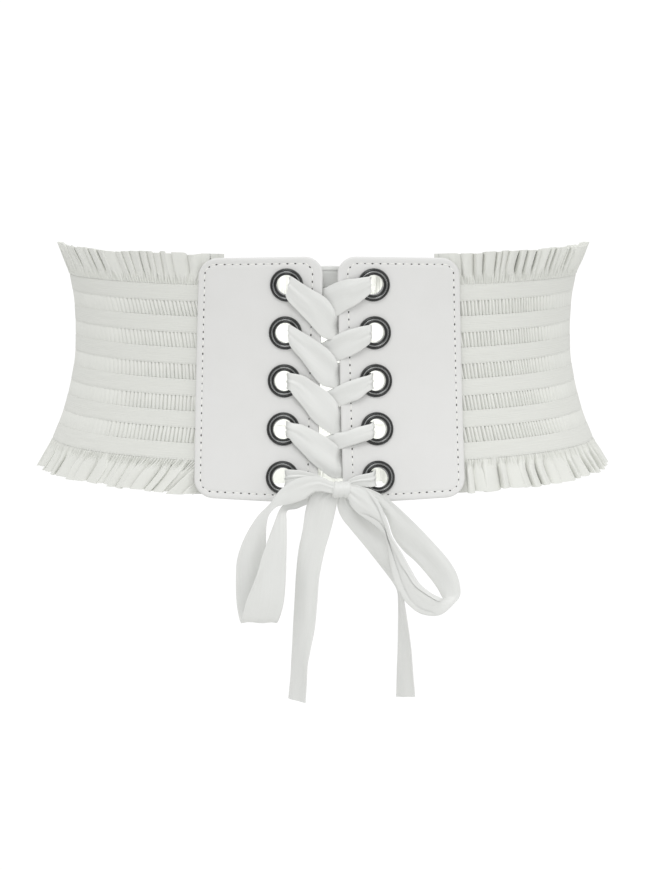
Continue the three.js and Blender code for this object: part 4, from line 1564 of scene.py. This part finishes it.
@dataclass
class Lacing:
    """One ribbon that crosses down the gap from eyelet to eyelet, left strands over right ones."""

    body: BodyForm
    cut: PanelCut
    layers: Layers
    cup: float = 0.4
    last_cup: float = 0.2
    swell: tuple[float, float] = (0.42, 0.28)
    hole_pleats: float = 0.42
    pleated_width: float = 11.0
    over_pleats: tuple[float, ...] = (0.36, 0.26, 0.1, 0.0, 0.0, 0.0)
    under_pleats: tuple[float, ...] = (0.34, 0.12, 0.0, 0.0)
    last_pleats: tuple[float, ...] = (0.4, 0.25, 0.25, 0.35)
    # How far a left and a right strand sink behind the other panel, and the lower edge's share of that
    drops: tuple[float, float] = (1.5, 2.5)
    lower_drop: float = 0.4
    # Way behind the other panel: how far past its edge, and out from the leather
    behind: tuple[tuple[float, float], ...] = ((-0.9, -1.5), (1.4, -3.3), (5.0, -4.2))
    # The bar behind the top eyelets: half its length, then the height and the place out of its two edges
    bar_half: float = 7.0
    bar_edges: tuple[tuple[float, float], ...] = ((8.4, -5.0), (-4.2, -5.8))
    # Way through an eyelet: share of its radius towards the gap, place out from the leather, and width
    hole_way: tuple[tuple[float, float, float], ...] = (
        (0.95, -4.4, 8.6), (0.5, -4.7, 8.0), (0.22, -3.6, 7.2), (0.16, -0.6, 7.0), (0.24, 1.5, 7.8),
    )

    def on_leather(self, edge: Edge) -> Vector:
        """Point over the leather from its place across, up and out."""
        x, z, out = edge
        return self.body.on_front(x, z, self.layers.panel_face + out)

    def hole(self, side: Side, row: int) -> list[Station]:
        """Stations through an eyelet, from the back to the front.

        Args:
            side: Side of the eyelet.
            row: Its number from the top.

        Returns:
            The stations.
        """
        x, z = self.cut.eyelet(side, row)
        away = self.body.square_to_front(x, z)
        up = (Vector((0, 0, 1)) - away * away.z).normalized()
        inward = up.cross(away) * -side.value
        face = self.body.on_front(x, z, self.layers.panel_face)
        stations = []
        for share, out, width in self.hole_way:
            middle = face + inward * (share * self.cut.eyelet_radius) + away * out
            upper, lower = middle + up * width / 2, middle - up * width / 2
            stations.append(Station(upper, lower, 0.0, self.hole_pleats, 0.0))
        return stations

    def strand(self, side: Side, row: int, start: Side) -> list[Station]:
        """Stations of a strand from its eyelet over the gap to behind the other panel.

        Args:
            side: Side of its eyelet.
            row: Number of its eyelet from the top.
            start: Side that its end of the ribbon starts at, which says which way its face is turned.

        Returns:
            The stations, in order from the eyelet.
        """
        facing = 1 if side is start else -1
        table = (OVER_STRANDS if side is Side.LEFT else UNDER_STRANDS)[row]
        depths = self.over_pleats if side is Side.LEFT else self.under_pleats
        stations = []
        for (one, two), pleats in zip(table, depths):
            upper, lower = self.on_leather(one), self.on_leather(two)
            narrow = min((upper - lower).length / self.pleated_width, 1.0) ** 2
            stations.append(Station(upper, lower, facing * self.cup, pleats * narrow, facing))
        (_, high, _), (_, low, _) = table[-1]
        over_drop, under_drop = self.drops
        drop = over_drop if side is Side.LEFT else under_drop
        for past, out in self.behind:
            edges = []
            for z in (high - drop, low - self.lower_drop * drop):
                x = -side.value * (self.cut.inner_edge(z) + past)
                edges.append(self.on_leather((x, z, out)))
            stations.append(Station(*edges, tuck=facing))
        return stations

    def run(self, start: Side) -> list[Station]:
        """Stations of one end of the ribbon, from the top eyelet down to the knot.

        Args:
            start: Side that this end starts at.

        Returns:
            The stations.
        """
        stations: list[Station] = []
        side = start
        for row in range(self.cut.eyelet_count - 1):
            stations += self.hole(side, row) + self.strand(side, row, start)
            side = Side(-side.value)
        stations += self.hole(side, self.cut.eyelet_count - 1)
        for (one, two), pleats in zip(LAST_STRANDS[side], self.last_pleats):
            stations.append(Station(self.on_leather(one), self.on_leather(two), self.last_cup, pleats))
        return stations

    def build(self, finish: bpy.types.Material) -> bpy.types.Object:
        """Lay the whole ribbon, joined by the bar behind the top eyelets.

        Args:
            finish: Its material.

        Returns:
            The piece.
        """
        left, right = self.run(Side.LEFT), self.run(Side.RIGHT)
        _, top = self.cut.eyelet(Side.RIGHT, 0)
        bar = [
            Station(*(self.on_leather((x, top + up, out)) for up, out in self.bar_edges))
            for x in (-self.bar_half, self.bar_half)
        ]
        stations = left[::-1] + bar + right
        return Ribbon("satin_lacing", stations, ["lace_ribbon"], swell=self.swell).build(finish)


# Upper and lower edge of each loop and tail: across and up from the knot, and forward of its back
LEFT_LOOP: Strand = (
    ((-3.8, 3.3, 6.6), (-2.8, -1.9, 6.4)),
    ((-11.4, 6.4, 7.6), (-12.3, -0.5, 7.2)),
    ((-18.5, 6.2, 8.2), (-18.5, -4.3, 8.0)),
    ((-23.8, 4.3, 8.4), (-25.2, -6.4, 8.2)),
    ((-29.4, 0.0, 7.2), (-30.9, -7.6, 8.2)),
    ((-34.2, -6.6, 5.0), (-34.7, -11.4, 8.0)),
    ((-40.4, -13.3, 3.6), (-36.1, -17.1, 7.6)),
    ((-46.1, -22.8, 3.2), (-36.3, -24.9, 6.0)),
    ((-49.6, -32.8, 3.2), (-36.3, -33.7, 5.0)),
    ((-50.3, -42.3, 3.2), (-35.6, -43.2, 4.6)),
    ((-50.1, -52.7, 3.4), (-34.7, -53.7, 4.6)),
    ((-49.2, -59.4, 4.4), (-32.3, -60.3, 5.2)),
    ((-48.0, -63.4, 6.6), (-31.3, -63.4, 7.0)),
    ((-47.5, -60.8, 9.0), (-29.9, -60.8, 9.0)),
    ((-45.6, -52.7, 10.6), (-28.0, -53.7, 10.6)),
    ((-42.8, -45.6, 11.2), (-27.1, -44.6, 10.6)),
    ((-40.4, -39.4, 11.4), (-26.8, -37.5, 10.2)),
    ((-38.5, -32.8, 11.2), (-26.6, -30.4, 9.8)),
    ((-35.8, -24.9, 10.6), (-26.4, -23.3, 8.8)),
    ((-32.1, -15.2, 9.2), (-26.4, -15.2, 7.0)),
    ((-29.4, -9.0, 6.8), (-26.1, -10.0, 5.0)),
    ((-24.7, -5.0, 4.4), (-21.4, -9.0, 3.8)),
    ((-17.6, -2.8, 3.8), (-16.1, -6.9, 3.4)),
    ((-4.8, 0.9, 3.6), (-4.3, -3.3, 3.4)),
)
RIGHT_LOOP: Strand = (
    ((3.8, 2.4, 6.8), (2.4, -2.8, 6.6)),
    ((8.5, 1.9, 8.2), (4.8, -8.1, 7.6)),
    ((13.3, -0.7, 9.2), (9.5, -12.3, 8.6)),
    ((17.1, -5.2, 9.9), (14.7, -15.7, 9.2)),
    ((19.9, -10.9, 10.6), (18.5, -19.0, 9.4)),
    ((21.8, -16.1, 11.4), (20.9, -21.4, 9.0)),
    ((23.5, -21.4, 12.0), (21.8, -24.2, 8.2)),
    ((25.9, -25.6, 12.0), (22.2, -28.5, 8.6)),
    ((28.5, -29.9, 11.6), (22.8, -33.7, 9.4)),
    ((32.3, -37.0, 11.2), (24.5, -41.8, 10.6)),
    ((36.6, -44.2, 11.0), (27.5, -48.9, 11.0)),
    ((41.8, -48.7, 10.6), (31.8, -54.6, 11.2)),
    ((46.1, -51.1, 9.6), (38.0, -58.9, 10.8)),
    ((48.2, -52.2, 8.0), (46.5, -59.6, 9.6)),
    ((48.9, -52.7, 6.6), (53.2, -54.6, 7.8)),
    ((48.2, -51.8, 5.2), (56.5, -49.9, 6.0)),
    ((45.6, -47.0, 4.2), (55.3, -41.8, 4.6)),
    ((41.8, -41.8, 3.8), (51.1, -34.2, 4.2)),
    ((35.6, -34.7, 3.6), (43.7, -25.6, 4.0)),
    ((29.4, -29.0, 3.4), (36.1, -17.6, 3.8)),
    ((24.7, -22.3, 3.4), (28.0, -9.7, 3.6)),
    ((21.8, -13.8, 3.4), (20.9, -3.8, 3.6)),
    ((17.1, -7.1, 3.5), (13.3, 0.2, 3.6)),
    ((9.5, -3.8, 3.6), (7.1, 1.4, 3.6)),
    ((3.8, -2.4, 3.6), (3.8, 1.4, 3.6)),
)
LEFT_TAIL: Strand = (
    ((-7.6, 0.5, 2.9), (-0.9, -2.4, 2.9)),
    ((-14.2, -2.8, 3.4), (-2.4, -7.1, 2.6)),
    ((-16.9, -9.0, 3.2), (-3.6, -12.8, 2.8)),
    ((-18.5, -19.5, 3.0), (-5.7, -20.9, 3.6)),
    ((-20.4, -29.0, 2.4), (-8.3, -29.4, 4.8)),
    ((-21.6, -40.9, 1.2), (-10.9, -41.8, 6.4)),
    ((-22.3, -52.7, 0.8), (-11.9, -53.7, 7.4)),
    ((-23.0, -64.6, 0.2), (-13.1, -66.0, 8.4)),
    ((-23.4, -74.1, -0.8), (-15.0, -75.5, 9.6)),
    ((-23.8, -82.2, -1.6), (-16.4, -83.1, 10.6)),
    ((-24.2, -90.7, -1.8), (-16.9, -91.7, 10.8)),
    ((-25.2, -100.7, -1.8), (-17.6, -101.4, 10.6)),
)
RIGHT_TAIL: Strand = (
    ((-0.9, -3.3, 2.9), (2.4, -0.5, 2.9)),
    ((-1.9, -7.6, 2.4), (4.8, -5.2, 2.6)),
    ((0.0, -13.3, 2.0), (9.0, -9.0, 2.6)),
    ((4.8, -19.5, 2.2), (15.2, -14.2, 2.8)),
    ((11.4, -27.5, 2.6), (21.8, -22.3, 3.2)),
    ((18.5, -36.6, 1.4), (24.7, -31.8, 5.0)),
    ((23.8, -43.7, -1.0), (27.5, -41.8, 7.4)),
    ((26.8, -48.9, -3.0), (28.7, -48.4, 9.6)),
    ((27.4, -54.1, -3.0), (29.7, -53.7, 10.0)),
    ((27.5, -64.6, -2.6), (31.3, -64.1, 10.2)),
    ((27.3, -75.5, -1.8), (32.8, -75.5, 10.0)),
    ((26.8, -88.3, -1.6), (33.7, -87.9, 10.2)),
    ((26.4, -100.2, -1.4), (34.7, -98.8, 10.0)),
)
# Half section of the knot: share of its width, and share of its half height
KNOT_SECTION: list[tuple[float, float]] = [
    (-0.5, 0.55), (-0.49, 0.72), (-0.44, 0.9), (-0.36, 1.0), (-0.27, 0.96), (-0.2, 0.9),
    (-0.14, 0.93), (-0.05, 0.98), (0.04, 0.97), (0.11, 0.91), (0.17, 0.92), (0.25, 0.99),
    (0.36, 1.02), (0.44, 0.92), (0.49, 0.74), (0.5, 0.55),
]


@dataclass
class Bow:
    """Bow at the foot of the lacing: a wrapped knot, two loops and two hanging tails."""

    body: BodyForm
    cut: PanelCut
    layers: Layers
    shift: float = 4.8
    drop: float = 4.9
    knot_width: float = 8.9
    knot_height: float = 8.5
    knot_depth: float = 8.0
    knot_steps: int = 40
    knot_swell: float = 0.06
    swell_turn: float = 1.1
    knot_slant: float = 0.09
    proud: float = 1.95
    knot_pleats: tuple[float, ...] = (0.42, 0.3, 0.14)
    tuck: float = 0.75

    @property
    def centre(self) -> Vector:
        """Middle of the knot.

        Returns:
            The place.
        """
        _, z = self.cut.eyelet(Side.RIGHT, self.cut.eyelet_count - 1)
        out = self.layers.panel_face + self.knot_depth / 2 + self.proud
        return self.body.on_front(self.shift, z - self.drop, out)

    def at(self, edge: Edge) -> Vector:
        """Point from its place across and up from the knot and its lift towards the front.

        Args:
            edge: The place across, up and forward.

        Returns:
            The point.
        """
        x, z, lift = edge
        knot = self.centre
        return Vector((knot.x + x, knot.y + self.knot_depth / 2 - lift, knot.z + z))

    def part(
        self,
        name: str,
        node: str,
        table: Strand,
        cup: float,
        phase: float,
        turn: int,
        ends: int,
        tucked: int = 0,
    ) -> Ribbon:
        """Loop or tail of the bow.

        Args:
            name: Name of the piece.
            node: CAD node that it replaces.
            table: Its two edges all the way along.
            cup: How far its middle stands out from its edges.
            phase: Where its pleats start.
            turn: 1 where the pleats bulge to the front, or -1.
            ends: Number of its ends that the knot holds, counted from its start.
            tucked: Number of stations, counted from its start, where spare width is tucked behind it.

        Returns:
            The ribbon, not yet laid.
        """
        last = len(table) - 1
        stations = []
        for index, (one, two) in enumerate(table):
            near = min(index, last - index) if ends == 2 else index
            pleats = self.knot_pleats[near] if near < len(self.knot_pleats) else 0.0
            tuck = self.tuck if index < tucked else 0.0
            stations.append(Station(self.at(one), self.at(two), turn * cup, pleats, tuck))
        return Ribbon(name, stations, [node], phase=phase, outside=turn)

    def knot(self, finish: bpy.types.Material) -> bpy.types.Object:
        """Wrap the knot: a rounded roll of ribbon with folds round it.

        Args:
            finish: Its material.

        Returns:
            The piece.
        """
        centre = self.centre
        bm = bmesh.new()
        verts = [
            bm.verts.new((side * self.knot_width, 0, size * self.knot_height / 2))
            for side, size in KNOT_SECTION
        ]
        edges = [bm.edges.new(pair) for pair in zip(verts, verts[1:])]
        bmesh.ops.spin(bm, geom=verts + edges, cent=(0, 0, 0), axis=(1, 0, 0), angle=2 * math.pi,
                       steps=self.knot_steps, use_merge=True, use_duplicate=False)
        rims = [edge for edge in bm.edges if edge.is_boundary]
        bmesh.ops.holes_fill(bm, edges=rims, sides=0)
        bmesh.ops.recalc_face_normals(bm, faces=bm.faces[:])
        for vert in bm.verts:
            turn = 2 * math.atan2(vert.co.z, vert.co.y) + self.swell_turn
            swell = 1 + self.knot_swell * math.sin(turn)
            vert.co.y *= swell * self.knot_depth / self.knot_height
            vert.co.z *= swell
            vert.co.x += self.knot_slant * vert.co.z
        bm.loops.layers.uv.new("cloth")
        bm.transform(Matrix.Translation(centre))
        piece = settle("bow_knot_wrap", bm, finish, Slot.SATIN, ["bow_knot"], 70)
        return piece

    def build(self, finish: bpy.types.Material) -> list[bpy.types.Object]:
        """Tie the knot, the loops and the tails.

        Args:
            finish: Their material.

        Returns:
            The pieces.
        """
        parts = [
            self.part("satin_loop_left", "bow_loop_left", LEFT_LOOP, 0.5, 0.2, turn=1, ends=2),
            self.part("satin_loop_right", "bow_loop_right", RIGHT_LOOP, 0.5, 1.1, turn=-1, ends=2, tucked=13),
            self.part("satin_tail_left", "bow_tail_left", LEFT_TAIL, 0.6, 0.4, turn=1, ends=1),
            self.part("satin_tail_right", "bow_tail_right", RIGHT_TAIL, 0.5, 2.0, turn=1, ends=1),
        ]
        return [self.knot(finish)] + [part.build(finish) for part in parts]


@dataclass
class Studio:
    """Camera, soft light and pale floor round the belt, in metres."""

    distance: float = 2.13
    camera_height: float = 0.1
    azimuth: float = -2.05
    tilt: float = 4.1
    lens: float = 176.3
    sensor: float = 36.0
    aside: float = 0.001
    floor_height: float = -0.5
    floor_radius: float = 1.05
    surround: tuple[float, float] = (0.52, 0.98)
    key: float = 12.2
    fill: float = 3.9
    lining: float = 0.13
    aim: float = -0.02
    white: float = 1.05
    # Height of the way of a ray, up and down, at which the glow of the surround stops changing
    glow_reach: float = 0.7

    def set_camera(self) -> None:
        """Place the camera at the height and angle of the photograph."""
        data = bpy.data.cameras.new("studio_camera")
        data.lens, data.sensor_width = self.lens, self.sensor
        camera = bpy.data.objects.new("studio_camera", data)
        turn = math.radians(self.azimuth)
        camera.location = (math.sin(turn) * self.distance + self.aside, -math.cos(turn) * self.distance,
                           self.camera_height)
        camera.rotation_euler = (math.radians(90 - self.tilt), 0, turn)
        bpy.context.scene.collection.objects.link(camera)
        bpy.context.scene.camera = camera

    def add_light(self, name: str, place: Vector, size: float, power: float) -> bpy.types.Object:
        """Add a square soft light that points at the belt.

        Args:
            name: Its name.
            place: Its place.
            size: Its side.
            power: Its power in watts.

        Returns:
            The light.
        """
        data = bpy.data.lights.new(name, "AREA")
        data.shape, data.size, data.energy = "SQUARE", size, power
        light = bpy.data.objects.new(name, data)
        light.location = place
        light.rotation_euler = (Vector((0, 0, self.aim)) - place).to_track_quat("-Z", "Y").to_euler()
        bpy.context.scene.collection.objects.link(light)
        return light

    def build(self) -> None:
        """Light the belt evenly in front of white, over a round pale floor out of view."""
        self.add_light("key_softbox", Vector((-0.25, -1.4, 1.6)), 1.0, self.key)
        self.add_light("fill_softbox", Vector((1.5, -1.2, 0.5)), 1.2, self.fill)
        lining = self.add_light("lining_softbox", Vector((0.0, -0.03, -0.032)), 0.12, self.lining)
        lining.rotation_euler = (math.pi / 2, 0, 0)
        lining.visible_camera = False
        world = bpy.data.worlds.new("white_surround")
        bpy.context.scene.world = world
        world.use_nodes = True
        tree = world.node_tree
        tree.nodes.clear()
        path = add_node(tree, "ShaderNodeLightPath")
        white = {"Color": (1, 1, 1, 1)}
        seen = add_node(tree, "ShaderNodeBackground", {**white, "Strength": self.white})
        way = add_node(tree, "ShaderNodeTexCoord")
        upwards = add_node(tree, "ShaderNodeSeparateXYZ", links={0: way.outputs["Generated"]})
        low, high = self.surround
        spread = {1: -self.glow_reach, 2: self.glow_reach, 3: low, 4: high}
        glow = add_node(tree, "ShaderNodeMapRange", spread, {0: upwards.outputs[2]})
        cast = add_node(tree, "ShaderNodeBackground", white, {"Strength": glow.outputs[0]})
        ways = {0: path.outputs[0], 1: cast.outputs[0], 2: seen.outputs[0]}
        both = add_node(tree, "ShaderNodeMixShader", links=ways)
        add_node(tree, "ShaderNodeOutputWorld", links={0: both.outputs[0]})
        bm = bmesh.new()
        bmesh.ops.create_circle(bm, cap_ends=True, radius=self.floor_radius, segments=96)
        mesh = bpy.data.meshes.new("studio_floor")
        bm.to_mesh(mesh)
        bm.free()
        mesh.transform(Matrix.Translation((0, 0, self.floor_height)))
        material, _, shader = new_material("matt_white_paint")
        shader.inputs["Base Color"].default_value = linear("F4F4F2")
        shader.inputs["Roughness"].default_value = 0.9
        mesh.materials.append(material)
        floor = bpy.data.objects.new("studio_floor", mesh)
        bpy.context.scene.collection.objects.link(floor)
        bpy.context.scene.view_settings.view_transform = "Standard"


def main() -> None:
    """Build the belt piece by piece and report each one."""
    logging.basicConfig(level=logging.INFO, format="%(message)s")
    studio = Studio()
    studio.set_camera()
    body, cut, layers, plan = BodyForm(), PanelCut(), Layers(), StripPlan()
    # Width of the cloth that lies behind the outer edge of a panel
    hidden = 8
    way = BandWay(body, math.asin((cut.gap_at_top / 2 + cut.width - hidden) / body.half_width))
    cloth = GatheredCloth().material()
    elastic = ElasticWebbing().material()
    leather = CoatedLeather().material()
    metal = BlackNickel().material()
    satin = SatinRibbon().material()
    pale_thread = SewingThread("white_sewing_thread", "E9E9E5").material()
    # The stitches are white thread; their grey tone paints the shade that gathers along the stitched lines
    shaded_seam_thread = SewingThread("seam_thread_painted_shade", "CDCECA").material()
    # A dark tone that paints the shade in the needle holes, made on the thread's material
    needle_pit = SewingThread("shaded_needle_pit", "3A3937").material()
    GatheredBand(body, way, plan).build(cloth)
    ElasticStrips(body, way, plan, layers).build(elastic)
    SeamStitches(body, way, plan, layers).build(shaded_seam_thread)
    Ruffle(
        body,
        "top_ruffle_cloth",
        "top_ruffle",
        upward=1,
        panel_edge=60.9,
        hidden=11.0,
        reach=15.3,
        front_reach=15.3,
        lean=5.4,
        front_lean=3.4,
        depth={Side.LEFT: 3.0, Side.RIGHT: 4.8},
        lobes=(2.4, 6.6),
        slant_left=[(0, 0), (30, -3), (35, 0), (42, 6), (52, 16), (65, 21), (90, 19), (140, 0)],
        slant_right=[(0, 0), (28, -9), (35, -8), (41, 0), (50, 5), (62, 9), (90, 14), (140, 0)],
        seed=5,
    ).build(cloth)
    Ruffle(
        body,
        "bottom_ruffle_cloth",
        "bottom_ruffle",
        upward=-1,
        panel_edge=63.7,
        hidden=22.0,
        reach=13.4,
        front_reach=16.2,
        lean=7.0,
        front_lean=3.4,
        depth={Side.LEFT: 3.4, Side.RIGHT: 5.0},
        lobes=(3.8, 9.2),
        slant_left=[(0, 44), (28, 44), (33, 37), (40, 30), (50, 24), (65, 20), (90, 17), (140, 0)],
        slant_right=[(0, 0), (35, 0), (45, 6), (55, 12), (68, 20), (90, 18), (140, 0)],
        seed=8,
    ).build(cloth)
    for side in Side:
        panel = FrontPanel(body, cut, layers, side)
        panel.build(leather)
        panel.sew(pale_thread, needle_pit)
        EyeletRow(body, cut, layers, side).build(metal)
    Lacing(body, cut, layers).build(satin)
    Bow(body, cut, layers).build(satin)
    studio.build()


if __name__ == "__main__":
    main()
